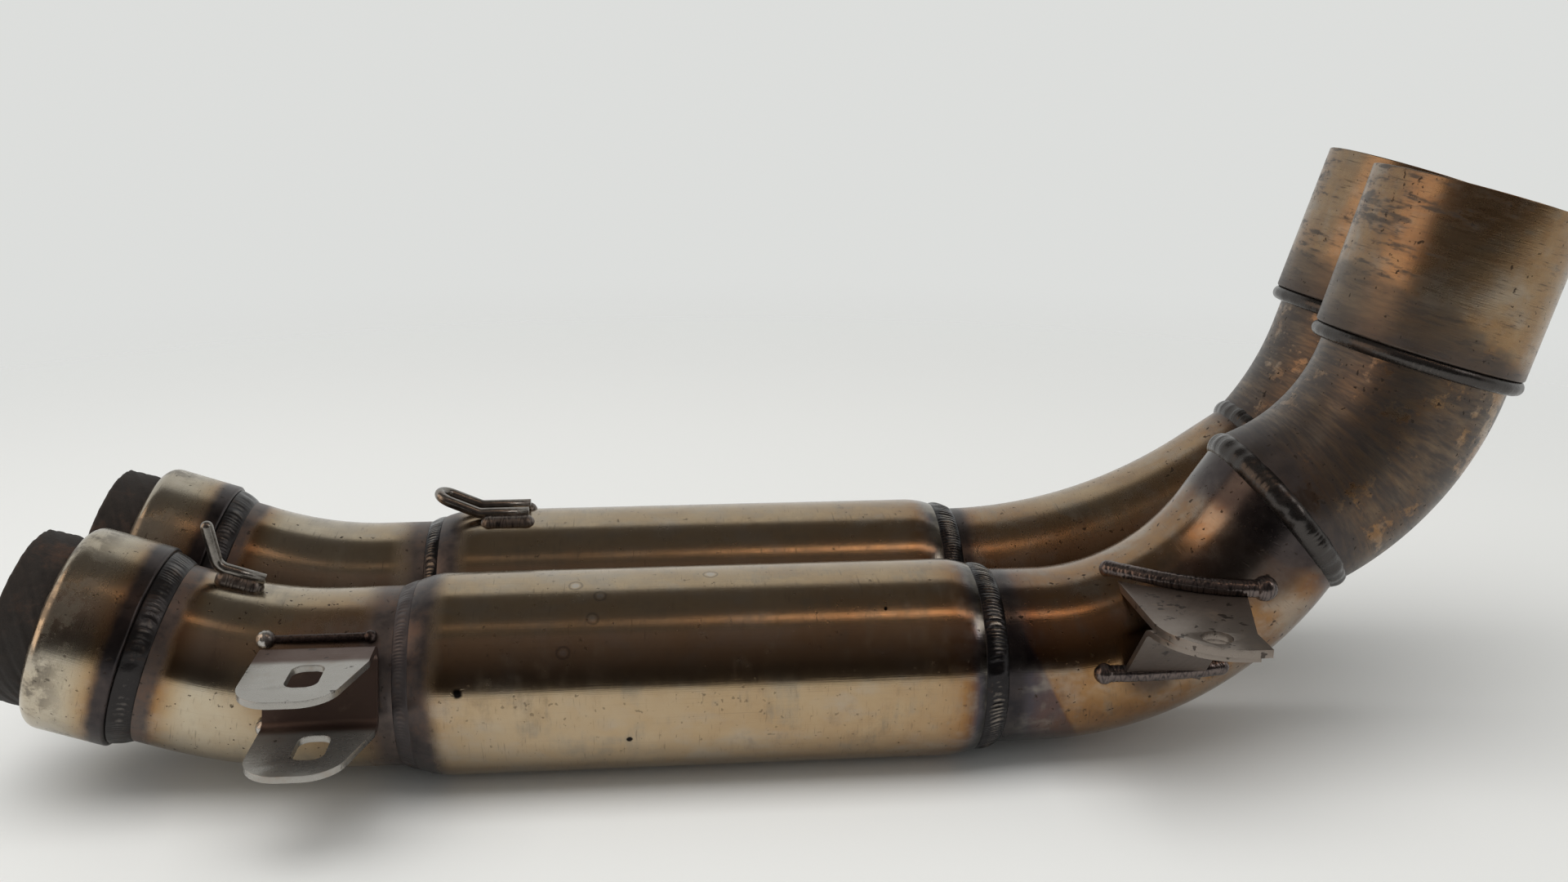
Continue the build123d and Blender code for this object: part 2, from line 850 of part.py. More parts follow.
# Outlet spring hook, on the far side of the outer pipe's outlet bend
hook_plane = outer.upper_start.turned(outer.upper_radius, outlet_hook_angle).around(outlet_hook_turn)
hook_height = outlet_r + outlet_hook_stand + hook_wire / 2
outlet_hook = wire_hook(hook_plane, outlet_hook_foot, outlet_hook_tip, outlet_hook_rise, hook_height)
keep(outlet_hook, "outlet_hook")
outlet_hook_weld = weld_pad(
    hook_plane,
    outlet_pad_start,
    outlet_pad_start + outlet_pad_length,
    outlet_r + outlet_pad_stand,
    outlet_pad_r,
    (outer.upper_bar, outlet_hook),
)
keep(outlet_hook_weld, "outlet_hook_weld")
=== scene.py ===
import bmesh
import bpy
import numpy as np
from mathutils import Matrix

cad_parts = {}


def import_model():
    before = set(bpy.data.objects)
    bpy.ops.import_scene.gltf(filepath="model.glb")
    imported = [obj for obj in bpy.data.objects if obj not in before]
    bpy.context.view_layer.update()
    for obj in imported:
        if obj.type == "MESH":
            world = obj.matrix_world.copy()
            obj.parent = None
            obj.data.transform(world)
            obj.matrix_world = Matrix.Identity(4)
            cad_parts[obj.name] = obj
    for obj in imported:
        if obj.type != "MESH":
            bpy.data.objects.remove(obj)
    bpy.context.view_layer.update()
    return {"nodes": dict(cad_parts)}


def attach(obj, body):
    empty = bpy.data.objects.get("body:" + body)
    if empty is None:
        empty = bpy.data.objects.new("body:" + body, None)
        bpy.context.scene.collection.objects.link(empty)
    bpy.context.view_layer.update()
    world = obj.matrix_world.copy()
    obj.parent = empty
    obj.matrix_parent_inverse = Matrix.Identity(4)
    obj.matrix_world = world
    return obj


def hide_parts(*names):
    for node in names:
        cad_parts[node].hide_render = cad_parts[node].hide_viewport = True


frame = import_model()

mm = 0.001

# Inlet sockets: thin steel cups with a rolled lip that slip over the gasket rings.
# Each is pressed from stainless sheet, pale straw from the heat, and welded to its front bend at the back.
can_od, can_length, pair_gap = 61.0 * mm, 173.0 * mm, 0.9 * mm
pipe_r, outlet_r, wall, clearance = 26.9 * mm, 27.8 * mm, 1.5 * mm, 0.1 * mm
front_lead, front_radius, front_angle = 13.3 * mm, 133.0 * mm, np.radians(19.3)
socket_r, socket_wall, socket_length = 30.3 * mm, 1.6 * mm, 24.5 * mm
socket_lip_bore, socket_lip_round, socket_back_wall = 26.0 * mm, 4.2 * mm, 3.0 * mm
gasket_reach, corner_steps = 12.0 * mm, 7


def straight(station, ways):
    """A straight line from a station (x, z, climb), as rows (x, z, climb, way): x + way cos(climb) and
    z + way sin(climb)."""
    x, z, climb = station
    ways = np.atleast_1d(ways)
    return np.stack([x + ways * np.cos(climb), z + ways * np.sin(climb), climb + 0 * ways, ways], 1)


def curved(station, radius, angles):
    """A bend from a station, as rows (x, z, climb, way): x + R (sin b - sin c), z + R (cos c - cos b), b and
    R (b - c), where c is the climb at the start and b = c + angle."""
    x, z, climb = station
    b = climb + np.atleast_1d(angles)
    x = x + radius * (np.sin(b) - np.sin(climb))
    z = z + radius * (np.cos(climb) - np.cos(b))
    return np.stack([x, z, b, radius * (b - climb)], 1)


def ahead(station, run):
    """The station at the end of a straight run."""
    return straight(station, run)[0, :3]


def turned(station, radius, angle):
    """The station at the end of a bend."""
    return curved(station, radius, angle)[0, :3]


def before(station, radius, angle):
    """The station where a bend began that ends here: this place less what the bend adds."""
    start = np.array([0.0, 0.0, station[2] - angle])
    moved = turned(start, radius, angle)
    return np.array([station[0] - moved[0], station[1] - moved[1], start[2]])


class Pipe:
    """One pipe of the pair: its side, its own bends and the stations along its centreline. It is given in
    millimetres and degrees, with each bend as its radius and angle."""

    def __init__(self, name, side, front_run, rear_run, lower, tail, kink, upper, rise):
        self.name = name
        self.y = side * (can_od + pair_gap) / 2
        self.front_run, self.rear_run = front_run * mm, rear_run * mm
        self.tail, self.rise = tail * mm, rise * mm
        self.lower = (lower[0] * mm, np.radians(lower[1]))
        self.upper = (upper[0] * mm, np.radians(upper[1]))
        self.kink = np.radians(kink)
        self.can_front = np.array([-can_length / 2, can_od / 2, 0.0])
        self.can_rear = ahead(self.can_front, can_length)
        self.front_end = ahead(self.can_front, -self.front_run)
        self.front_start = before(self.front_end, front_radius, front_angle)
        self.socket_back = ahead(self.front_start, -front_lead)
        self.socket_mouth = ahead(self.socket_back, -socket_length)
        self.gasket_mouth = ahead(self.socket_mouth, -gasket_reach)
        self.lower_end = turned(ahead(self.can_rear, self.rear_run), *self.lower)
        self.joint = ahead(self.lower_end, self.tail)
        self.mitre = self.joint + np.array([0, 0, self.kink / 2])
        self.upper_start = self.joint + np.array([0, 0, self.kink])
        self.upper_end = turned(self.upper_start, *self.upper)
        self.sleeve_foot = ahead(self.upper_end, self.rise)


outer = Pipe(
    "outer", side=-1, front_run=21.8, rear_run=18.4,
    lower=(82.5, 55.4), tail=12.0, kink=-31.2, upper=(71.2, 50.2), rise=4.5,
)
inner = Pipe(
    "inner", side=1, front_run=18.8, rear_run=3.5,
    lower=(177.5, 33.4), tail=21.9, kink=14.2, upper=(112.2, 25.3), rise=12.0,
)
pipes = (outer, inner)


def unit(vectors):
    """Vectors divided by their lengths."""
    return vectors / np.linalg.norm(vectors, axis=-1, keepdims=True)


def fillets(corners, into, away, radii, steps):
    """The arcs that round a row of corners: each goes from Q - d u to Q + d v with d = r tan(turn / 2),
    where u and v are the unit sides in and out, as a conic bent by Q with the weight cos(turn / 2)."""
    half = np.arccos(np.clip((into * away).sum(1), -1, 1)) / 2
    reach = (radii * np.tan(half))[:, None]
    first, last = (corners - reach * into)[:, None], (corners + reach * away)[:, None]
    t = np.linspace(0, 1, steps)[:, None]
    pull = 2 * t * (1 - t) * np.cos(half)[:, None, None]
    arcs = (1 - t) ** 2 * first + pull * corners[:, None] + t**2 * last
    return (arcs / ((1 - t) ** 2 + pull + t**2)).reshape(-1, corners.shape[1])


def rounded(corners):
    """A closed outline through corners that are given as (point, radius), each rounded by its radius."""
    points, radii = (np.array(values) for values in zip(*corners))
    into = unit(points - np.roll(points, 1, 0))
    return fillets(points, into, np.roll(into, -1, 0), radii, corner_steps)


def turns(count):
    """The angles of a ring's points, from 0 at the top round over the far side."""
    return np.linspace(0, 2 * np.pi, count, endpoint=False)


def ring_grid(line, out, y, count):
    """Rings carried along a line of rows (x, z, climb): C + out (cos a up + sin a side), where out has one
    value a row, or one for every point."""
    a = turns(count)
    x, z, climb = (line[:, k, None] for k in range(3))
    out = np.reshape(out, (len(line), -1))
    points = [x - out * np.cos(a) * np.sin(climb), y + out * np.sin(a), z + out * np.cos(a) * np.cos(climb)]
    return np.stack(points, 2)


def lay_of(along, count):
    """The lay of a ring grid, (along, cos a, sin a), which its finish follows."""
    a = turns(count)
    along = np.reshape(along, (len(along), -1)) + 0 * a
    return np.stack([along, np.cos(a) + 0 * along, np.sin(a) + 0 * along], 2)


def placed(name, data):
    """A new object in the scene."""
    made = bpy.data.objects.new(name, data)
    bpy.context.scene.collection.objects.link(made)
    return made


def skin(name, grid, lay, close_rows=True):
    """Mesh of a grid of points, closed round its columns and, if asked, from its last row to its first."""
    rows, columns = grid.shape[:2]
    i = np.arange(rows if close_rows else rows - 1)[:, None]
    j = np.arange(columns)[None, :]
    here, beyond, beside = i * columns, (i + 1) % rows * columns, (j + 1) % columns
    quads = np.stack([here + j, beyond + j, beyond + beside, here + beside], 2).reshape(-1, 4)
    mesh = bpy.data.meshes.new(name)
    mesh.vertices.add(rows * columns)
    mesh.vertices.foreach_set("co", grid.reshape(-1).astype(np.float32))
    mesh.loops.add(quads.size)
    mesh.loops.foreach_set("vertex_index", quads.reshape(-1).astype(np.int32))
    mesh.polygons.add(len(quads))
    mesh.polygons.foreach_set("loop_start", np.arange(0, quads.size, 4, dtype=np.int32))
    mesh.polygons.foreach_set("use_smooth", np.ones(len(quads), bool))
    mesh.update(calc_edges=True)
    lays = mesh.attributes.new("lay", "FLOAT_VECTOR", "POINT").data
    lays.foreach_set("vector", lay.reshape(-1).astype(np.float32))
    return placed(name, mesh)


def lathe(name, station, y, outline, count=192, wear=0.0):
    """A turned piece: the closed outline (along, out) carried round the station's axis, less its wear."""
    along, out = outline.T
    grid = ring_grid(straight(station, along), out[:, None] - wear, y, count)
    return skin(name, grid, lay_of(along, count))


def feed(node, inputs):
    """Set or link a node's inputs, each by its name or its number."""
    for key, value in inputs.items():
        if isinstance(value, Shade):
            node.id_data.links.new(value.socket, node.inputs[key])
        else:
            node.inputs[key].default_value = value


class Shade:
    """A shader socket that takes part in Python arithmetic: every operator adds one Math node."""

    def __init__(self, tree, socket):
        self.tree, self.socket = tree, socket

    def node(self, kind, settings=None, values=None, out=0):
        """A new node: its type, its settings, the values or links of its sockets, and the output to take."""
        made = self.tree.nodes.new(kind)
        for key, value in (settings or {}).items():
            if key == "stops":
                stops = made.color_ramp.elements
                while len(stops) < len(value):
                    stops.new(1.0)
                for stop, (place, colour) in zip(stops, value):
                    stop.position = place
                    stop.color = (*colour, 1.0)
            else:
                setattr(made, key, value)
        feed(made, values or {})
        return Shade(self.tree, made.outputs[out])

    def math(self, operation, *others):
        """A Math node that takes this value first."""
        return self.node("ShaderNodeMath", {"operation": operation}, dict(enumerate((self, *others))))

    def __add__(self, other):
        return self.math("ADD", other)

    __radd__ = __add__

    def __mul__(self, other):
        return self.math("MULTIPLY", other)

    __rmul__ = __mul__

    def __sub__(self, other):
        return self.math("SUBTRACT", other)

    def __rsub__(self, other):
        return self.node("ShaderNodeMath", {"operation": "SUBTRACT"}, {0: other, 1: self})

    def step(self, low, high):
        """0 below low, 1 above high and a smooth rise between."""
        values = {"Value": self, "From Min": low, "From Max": high}
        return self.node("ShaderNodeMapRange", {"interpolation_type": "SMOOTHSTEP"}, values)

    def band(self, low, high):
        """1 below low, 0 above high and a smooth fall between, both in millimetres."""
        return 1 - self.step(low * mm, high * mm)

    def fade(self, reach):
        """exp(-value / reach): 1 at a weld's edge, dying away from it."""
        return (self.math("MAXIMUM", 0.0) * (-1 / reach)).math("EXPONENT")

    def ramp(self, *stops):
        """The colour that this value picks between stops of (value, colour)."""
        return self.node("ShaderNodeValToRGB", {"stops": stops}, {0: self})

    def tint(self, colour, amount):
        """This colour mixed towards another by an amount."""
        colour = colour if isinstance(colour, Shade) else (*colour, 1.0)
        return self.node("ShaderNodeMix", {"data_type": "RGBA"}, {0: amount, 6: self, 7: colour}, out=2)

    def bump(self, strength, depth):
        """The normal of a surface that has this height."""
        return self.node("ShaderNodeBump", None, {"Strength": strength, "Distance": depth, "Height": self})

    def noise(self, scale, detail, rough):
        """Noise over this vector, about 0 with most of it between -0.25 and 0.25."""
        values = {"Vector": self, "Scale": scale, "Detail": detail, "Roughness": rough}
        return self.node("ShaderNodeTexNoise", None, values) - 0.5

    def stretch(self, x, y, z):
        """This vector scaled on each axis."""
        return self.node("ShaderNodeVectorMath", {"operation": "MULTIPLY"}, {0: self, 1: (x, y, z)})

    def part(self, axis):
        """One of this vector's three parts."""
        return self.node("ShaderNodeSeparateXYZ", None, {0: self}, out=axis)

    def reach(self, point):
        """Distance from this place to a point given in millimetres."""
        values = {0: self, 1: tuple(np.array(point) * mm)}
        return self.node("ShaderNodeVectorMath", {"operation": "DISTANCE"}, values, out="Value")


def blank(name):
    """A new material, its shader, and the place on the object."""
    material = bpy.data.materials.new(name)
    material.use_nodes = True
    shader = material.node_tree.nodes["Principled BSDF"]
    start = Shade(material.node_tree, shader.outputs[0])
    return material, shader, start.node("ShaderNodeTexCoord", out="Object")


def lay_on(place):
    """The lay of the surface: the way along, and the cosine and sine of the turn."""
    return place.node("ShaderNodeAttribute", {"attribute_name": "lay"}, out="Vector")


def dress(shader, colour, metal, rough, normal):
    """The four inputs that every finish here sets."""
    feed(shader, {"Base Color": colour, "Metallic": metal, "Roughness": rough, "Normal": normal})


class Ground:
    """What a finish can vary with: the way along the piece, its place, and noises from wide to fine."""

    def __init__(self, place, lay):
        self.place, self.way = place, lay.part(0)
        self.patches = place.noise(38.0, 4.0, 0.6)
        self.mottle = place.noise(170.0, 4.0, 0.6)
        self.smears = lay.stretch(260.0, 1.6, 1.6).noise(1.0, 4.0, 0.65)
        self.rings = lay.stretch(1500.0, 3.0, 3.0).noise(1.0, 3.0, 0.7)
        self.draws = lay.stretch(40.0, 110.0, 110.0).noise(1.0, 3.0, 0.6)
        self.lines = lay.stretch(1700.0, 5.0, 5.0).noise(1.0, 2.0, 0.5)
        self.streaks = lay.stretch(620.0, 3.5, 3.5).noise(1.0, 3.0, 0.6)
        self.stains = place.noise(85.0, 8.0, 0.72)
        self.clouds = place.stretch(42.0, 60.0, 60.0).noise(1.0, 4.0, 0.6)

    def wavy(self, wide, fine=0.0):
        """The way along, made to waver by the patches and the mottle, in millimetres."""
        return self.way + wide * mm * self.patches + fine * mm * self.mottle


def light_film(amount):
    """A thin smoky film in drifting patches."""

    def film(g):
        return (g.place.noise(24.0, 6.0, 0.68) + 0.4 * g.mottle + 0.5 * g.smears).step(0.05, 0.40) * amount

    return film


temper_colours = (
    (0.00, (0.50, 0.475, 0.43)),
    (0.16, (0.51, 0.44, 0.33)),
    (0.34, (0.43, 0.315, 0.19)),
    (0.50, (0.30, 0.165, 0.072)),
    (0.61, (0.185, 0.095, 0.048)),
    (0.70, (0.115, 0.074, 0.066)),
    (0.79, (0.066, 0.058, 0.066)),
    (0.90, (0.040, 0.037, 0.040)),
    (1.00, (0.026, 0.024, 0.023)),
)
scale_colours = ((0.2, (0.026, 0.024, 0.027)), (0.8, (0.078, 0.063, 0.059)))
soot_brown, line_brown, draw_brown = (0.072, 0.059, 0.050), (0.06, 0.048, 0.04), (0.10, 0.08, 0.065)
pale_cloud, dark_cloud, dust_grey = (0.42, 0.375, 0.31), (0.27, 0.245, 0.20), (0.26, 0.235, 0.205)
chalk_brown, rust_brown = (0.130, 0.100, 0.086), (0.115, 0.062, 0.040)
blot_black, pit_black = (0.050, 0.038, 0.030), (0.035, 0.026, 0.020)


def tinted_steel(name, heat, film, scale, rough, grain, pits, worn, chalk=0.0, soot=soot_brown, marks=None):
    """Stainless steel whose colour runs through the temper colours with its heat, under a smoky film, with
    a dark scale beside its welds, paler and duller with chalk. Fine rings of grain go round the piece,
    water has left pale and dark clouds, and dark lines, stains and pits lie over it."""
    material, shader, place = blank(name)
    lay = lay_on(place)
    g = Ground(place, lay)
    colour = heat(g).ramp(*temper_colours)
    colour = colour.tint(pale_cloud, (g.clouds + 0.3 * g.mottle).step(-0.02, 0.22) * 0.55)
    colour = colour.tint(dark_cloud, (0.4 * g.smears - g.clouds).step(0.04, 0.24) * 0.5)
    dust = lay.part(1).step(0.2, 1.0) * (0.24 + 0.6 * g.mottle)
    colour = colour.tint(dust_grey, dust)
    smoke = film(g)
    colour = colour.tint(soot, smoke)
    lines = g.lines.step(0.10, 0.28) * worn
    colour = colour.tint(line_brown, lines * 0.6)
    colour = colour.tint(draw_brown, g.draws.step(0.05, 0.35) * 0.30)
    blots = g.stains.step(0.15, 0.21) * worn
    colour = colour.tint(blot_black, blots * 0.7)
    scaled = scale(g)
    crust = (0.5 + g.patches + g.mottle).ramp(*scale_colours)
    crust = crust.tint(chalk_brown, chalk * (1 + 4 * g.mottle))
    crust = crust.tint(rust_brown, 1.6 * chalk * (g.stains + 0.5 * g.patches).step(-0.04, 0.14))
    colour = colour.tint(crust, scaled)
    specks = (place.noise(560.0, 2.0, 0.5) + 0.25 * g.patches).step(0.17, 0.23) * pits
    colour = colour.tint(pit_black, specks)
    if marks:
        colour = marks(g, colour)
    dullness = rough + 0.07 * g.patches + 0.09 * g.mottle + 0.08 * g.rings + 0.15 * smoke + 0.1 * dust
    dullness = dullness + 0.25 * specks + 0.15 * blots + 0.1 * lines + (0.06 + 0.4 * chalk) * scaled
    height = grain * g.rings + 0.5 * g.mottle + 0.35 * g.draws - 0.8 * specks
    height = height - 0.4 * lines + 0.3 * scaled * g.stains
    metal = 1 - 0.30 * smoke - (0.05 + 0.9 * chalk) * scaled
    dress(shader, colour, metal, dullness, height.bump(0.26, 0.12 * mm))
    return material


def settle(piece, node, material):
    """The piece takes the node's place, with its finish."""
    piece.data.materials.append(material)
    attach(piece, "root")
    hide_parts(node)


def from_back(g):
    """The wavering distance from the socket's welded back."""
    return socket_length - g.way + 5 * mm * g.patches


def socket_heat(g):
    """Straw all over, and hotter beside the weld."""
    return 0.14 + 0.24 * g.patches + 0.12 * g.mottle + 0.34 * from_back(g).band(3.0, 14.0)


def socket_scale(g):
    """A narrow dark band beside the weld."""
    return (from_back(g) + 2 * mm * g.mottle).band(3.6, 7.4)


def socket_film(g):
    """Smoke that has crept over the lip, and a light film elsewhere."""
    mouth = g.wavy(12).band(5, 15)
    return 0.62 * mouth * (g.stains + 0.5 * g.patches).step(-0.02, 0.10) + light_film(0.3)(g)


socket_steel = tinted_steel(
    "socket_steel", socket_heat, socket_film, socket_scale, rough=0.24, grain=0.7, pits=0.6, worn=0.6
)
back, inside, bore = socket_length - socket_back_wall, socket_r - socket_wall, pipe_r + clearance
socket_corners = (
    ((0, socket_lip_bore), 0.5 * mm),
    ((0, socket_r), socket_lip_round),
    ((socket_length, socket_r), 1.0 * mm),
    ((socket_length, bore), 0.3 * mm),
    ((back, bore), 0.3 * mm),
    ((back, inside), 0.6 * mm),
    ((socket_wall, inside), socket_lip_round - socket_wall),
    ((socket_wall, socket_lip_bore), 0.5 * mm),
)
for pipe in pipes:
    piece = lathe(f"{pipe.name}_socket_cup", pipe.socket_mouth, pipe.y, rounded(socket_corners))
    settle(piece, f"{pipe.name}_inlet_socket", socket_steel)

# Inlet gaskets: pressed rings of graphite and wire mesh, held behind each socket's lip.
# They are soft, crumbly and blackened, with rust coming through at the edges.
gasket_bore, gasket_nose, gasket_collar = 22.5 * mm, 25.9 * mm, 28.6 * mm
nose_length, gasket_length = 16.3 * mm, 29.3 * mm
crumble_depth, crumble_pitch, gasket_count = 0.9 * mm, 0.6 * mm, 240
graphite_colours = ((0.0, (0.006, 0.005, 0.0045)), (1.0, (0.034, 0.026, 0.022)))
gasket_graphite, shader, place = blank("gasket_graphite")
crust = place.noise(260.0, 6.0, 0.7)
clumps = place.noise(70.0, 4.0, 0.6)
rust = (clumps + 0.5 * crust).step(0.02, 0.25)
colour = (crust + 0.5).ramp(*graphite_colours).tint((0.060, 0.029, 0.017), rust * 0.7)
dress(shader, colour, 0.0, 0.78 + 0.2 * crust, (crust + 0.6 * clumps).bump(0.8, 0.6 * mm))


def way_along(path):
    """The way along a path to each of its points: the sum of the sides up to it."""
    return np.concatenate([[0], np.cumsum(np.linalg.norm(np.diff(path, axis=0), axis=1))])


def evenly(outline, pitch):
    """The closed outline with its points spread evenly along it, about a pitch apart."""
    closed = np.concatenate([outline, outline[:1]])
    way = way_along(closed)
    steps = np.linspace(0, way[-1], int(way[-1] / pitch), endpoint=False)
    return np.stack([np.interp(steps, way, closed[:, k]) for k in (0, 1)], 1)


def crumbled(outline):
    """How far each point of the gasket has worn in: the depth times a half plus half the mean of sines of
    the turn and the way along, and nothing in the bore."""
    along, out = outline[:, :1], outline[:, 1:]
    waves = ((5, 300, 0.3), (11, 700, 1.7), (23, 1500, 2.9), (41, 2600, 4.4))
    wear = sum(np.sin(n * turns(gasket_count) + k * along + p) for n, k, p in waves) / len(waves)
    return crumble_depth * (0.5 + 0.5 * wear) * (out > out.min() + 1 * mm)


gasket_corners = (
    ((0, gasket_bore), 0.8 * mm),
    ((0, gasket_nose), 1.2 * mm),
    ((nose_length, gasket_nose), 0.4 * mm),
    ((nose_length, gasket_collar), 0.6 * mm),
    ((gasket_length, gasket_collar), 0.6 * mm),
    ((gasket_length, gasket_bore), 0.6 * mm),
)
outline = evenly(rounded(gasket_corners), crumble_pitch)
for pipe in pipes:
    name = f"{pipe.name}_gasket_ring"
    piece = lathe(name, pipe.gasket_mouth, pipe.y, outline, gasket_count, crumbled(outline))
    settle(piece, f"{pipe.name}_inlet_gasket", gasket_graphite)

# Front bends: bent stainless tubes from the sockets down to the canisters.
# The heat has turned them straw and gold, and blue-black close to the welds at either end.
front_lap = 2.0 * mm + socket_back_wall
inlet_bead, can_front_bead = 6.4 * mm, 2.8 * mm
front_bracket_spot = (-109.0, outer.y / mm - 27.0, 45.0)
run_points, bend_points, tube_columns = 6, 36, 192


def walk(start, route):
    """Centreline of a tube as rows (x, z, climb, way), leg after leg. A leg is a run, (length,), or a
    bend, (radius, angle)."""
    here, way, legs = start, 0.0, []
    for leg in route:
        if len(leg) == 1:
            rows = straight(here, np.linspace(0, leg[0], run_points))
        else:
            rows = curved(here, leg[0], np.linspace(0, leg[1], bend_points))
        rows[:, 3] += way
        legs.append(rows if not legs else rows[1:])
        here, way = rows[-1, :3], rows[-1, 3]
    return np.concatenate(legs)


def tube(name, line, y, radius, mitre=None, keep=0):
    """A tube with a wall: rings along the line at the outer radius, and back again at the inner one. A
    mitre station cuts it: points past its plane slide back along the tube onto it. The part before the
    plane is kept where keep is 1, and the part after it where keep is -1."""
    out = np.repeat([radius, radius - wall], len(line))
    line = np.concatenate([line, line[::-1]])
    grid = ring_grid(line, out, y, tube_columns)
    if mitre is not None:
        face = np.array([np.cos(mitre[2]), 0, np.sin(mitre[2])])
        heading = np.stack([np.cos(line[:, 2]), 0 * line[:, 2], np.sin(line[:, 2])], 1)
        past = (grid - np.array([mitre[0], y, mitre[1]])) @ face * keep
        slide = np.maximum(past, 0) * keep / (heading @ face)[:, None]
        grid = grid - slide[:, :, None] * heading[:, None, :]
    return skin(name, grid, lay_of(line[:, 3], tube_columns))


def front_finish(pipe):
    """The heat and the scale of a front bend: both gather at its two welds, and round the outer one's
    bracket."""
    covered = front_lap + inlet_bead
    length = front_lap + front_lead + front_radius * front_angle + pipe.front_run - can_front_bead

    def near_bracket(g, low, high):
        if pipe is inner:
            return 0.0
        return (g.place.reach(front_bracket_spot) + 8 * mm * g.patches).band(low, high)

    def front_heat(g):
        wavy = g.wavy(6)
        socket_end = (wavy - covered).band(2.0, 14.0)
        can_end = (length - wavy).fade(11.0 * mm)
        warm = 0.20 + 0.24 * g.patches + 0.13 * g.mottle + 0.36 * socket_end + 0.36 * can_end
        return warm + 0.30 * near_bracket(g, 10, 34)

    def front_scale(g):
        wavy = g.wavy(6, 2)
        socket_end = (wavy - covered).band(2.6, 6.2)
        can_end = (length - wavy).band(2.0, 13.0)
        return (socket_end + can_end + 0.55 * near_bracket(g, 8, 30)).math("MINIMUM", 0.94)

    return front_heat, light_film(0.45), front_scale


for pipe in pipes:
    lead = front_lap + front_lead
    line = walk(ahead(pipe.front_start, -lead), [(lead,), (front_radius, front_angle), (pipe.front_run,)])
    piece = tube(f"{pipe.name}_front_tube", line, pipe.y, pipe_r)
    steel = tinted_steel(
        f"{pipe.name}_front_steel", *front_finish(pipe), rough=0.17, grain=0.3, pits=0.8, worn=0.6, chalk=0.35
    )
    settle(piece, f"{pipe.name}_front_bend", steel)

# Canister shells: spun stainless skins round the catalyst cores, drawn in at both ends.
# Smooth and golden, they are darker towards the outlet end and blue beside the end welds.
can_r, can_mouth_r, shoulder = can_od / 2, pipe_r + 0.7 * mm, 12.0 * mm
drop = can_r - can_mouth_r
bow = (shoulder**2 + drop**2) / (2 * drop)
water_spots = (
    (-37.1, -38.0, 60.2),
    (-29.7, -43.0, 58.5),
    (-32.0, -49.9, 54.4),
    (3.2, -33.5, 60.9),
    (-40.2, -56.8, 46.7),
)
soot_marks = (((-70.2, -60.8, 37.0), 1.6), ((-22.1, -59.7, 20.4), 1.0), ((54.4, -49.7, 54.5), 0.6))
water_pale, water_rim, soot_black = (0.46, 0.44, 0.41), (0.16, 0.14, 0.12), (0.012, 0.010, 0.009)


def shoulder_r(along):
    """Outer radius near an end: an arc tangent to the skin, r - bow + sqrt(bow^2 - (shoulder - along)^2)."""
    return can_r - bow + np.sqrt(bow**2 - np.clip(shoulder - along, 0, None) ** 2)


def can_heat(g):
    """Gold that deepens towards the outlet, with a broad halo at the front weld and a sharp one at the
    rear."""
    wavy = g.wavy(5)
    front = (wavy - 1.8 * mm).fade(10.0 * mm)
    rear = (can_length - 3 * mm - wavy).fade(4.0 * mm)
    warm = 0.27 + 0.12 / can_length * g.way + 0.20 * g.patches + 0.09 * g.mottle
    return warm + 0.26 * front + 0.74 * rear


def can_scale(g):
    """A dark band over the front shoulder."""
    return g.wavy(6, 2).band(6.0, 12.0)


def can_marks(g, colour):
    """Dried water spots, pale with a darker rim, and three black marks."""
    for spot in water_spots:
        away = g.place.reach(spot) + 2 * mm * g.mottle
        rim = away.step(1.2 * mm, 1.8 * mm) * away.band(1.8, 2.4)
        colour = colour.tint(water_pale, away.band(0.6, 1.5) * 0.6)
        colour = colour.tint(water_rim, rim * 0.6)
    for spot, size in soot_marks:
        away = g.place.reach(spot) + 3 * mm * g.mottle
        colour = colour.tint(soot_black, away.band(size * 0.5, size))
    return colour


canister_steel = tinted_steel(
    "canister_steel", can_heat, light_film(0.38), can_scale,
    rough=0.16, grain=0.35, pits=0.4, worn=0.5, chalk=0.24, marks=can_marks,
)
t = np.linspace(0, shoulder, 16)
along = np.concatenate([t, can_length - t[::-1]])
out = shoulder_r(np.minimum(along, can_length - along))
outline = np.concatenate([np.stack([along, out], 1), np.stack([along, out - wall], 1)[::-1]])
for pipe in pipes:
    piece = lathe(f"{pipe.name}_canister_skin", pipe.can_front, pipe.y, outline, count=256)
    settle(piece, f"{pipe.name}_canister_shell", canister_steel)

# Catalyst cores: coated foil bodies inside the canisters, out of sight behind the bends.
# Dull grey-brown ceramic coating on thin steel foil, pushed into the shell; the solids' shape is kept.
catalyst_foil, shader, place = blank("catalyst_foil")
coat = place.noise(300.0, 4.0, 0.6)
colour = (coat + 0.5).ramp((0.2, (0.16, 0.13, 0.10)), (0.8, (0.30, 0.26, 0.21)))
dress(shader, colour, 0.3, 0.7 + 0.2 * coat, coat.bump(0.4, 0.3 * mm))


def coated(node, material):
    """The node keeps its solid's shape and takes a finish."""
    finishes = frame["nodes"][node].data.materials
    finishes.clear()
    finishes.append(material)


for pipe in pipes:
    coated(f"{pipe.name}_catalyst_core", catalyst_foil)

# Lower bends: the tubes that carry on from the canisters and climb to the mitred joints.
# They run hottest, so they are bronze and orange, with a blue-black halo round the outer pipe's bracket.
mitre_lap, mitre_bead_edge, can_rear_bead = 9.0 * mm, 4.0 * mm, 4.2 * mm
ear_spot, foot_spot, blob_spot = (146, -57, 60), (134, -57, 36), (166, -54, 68)


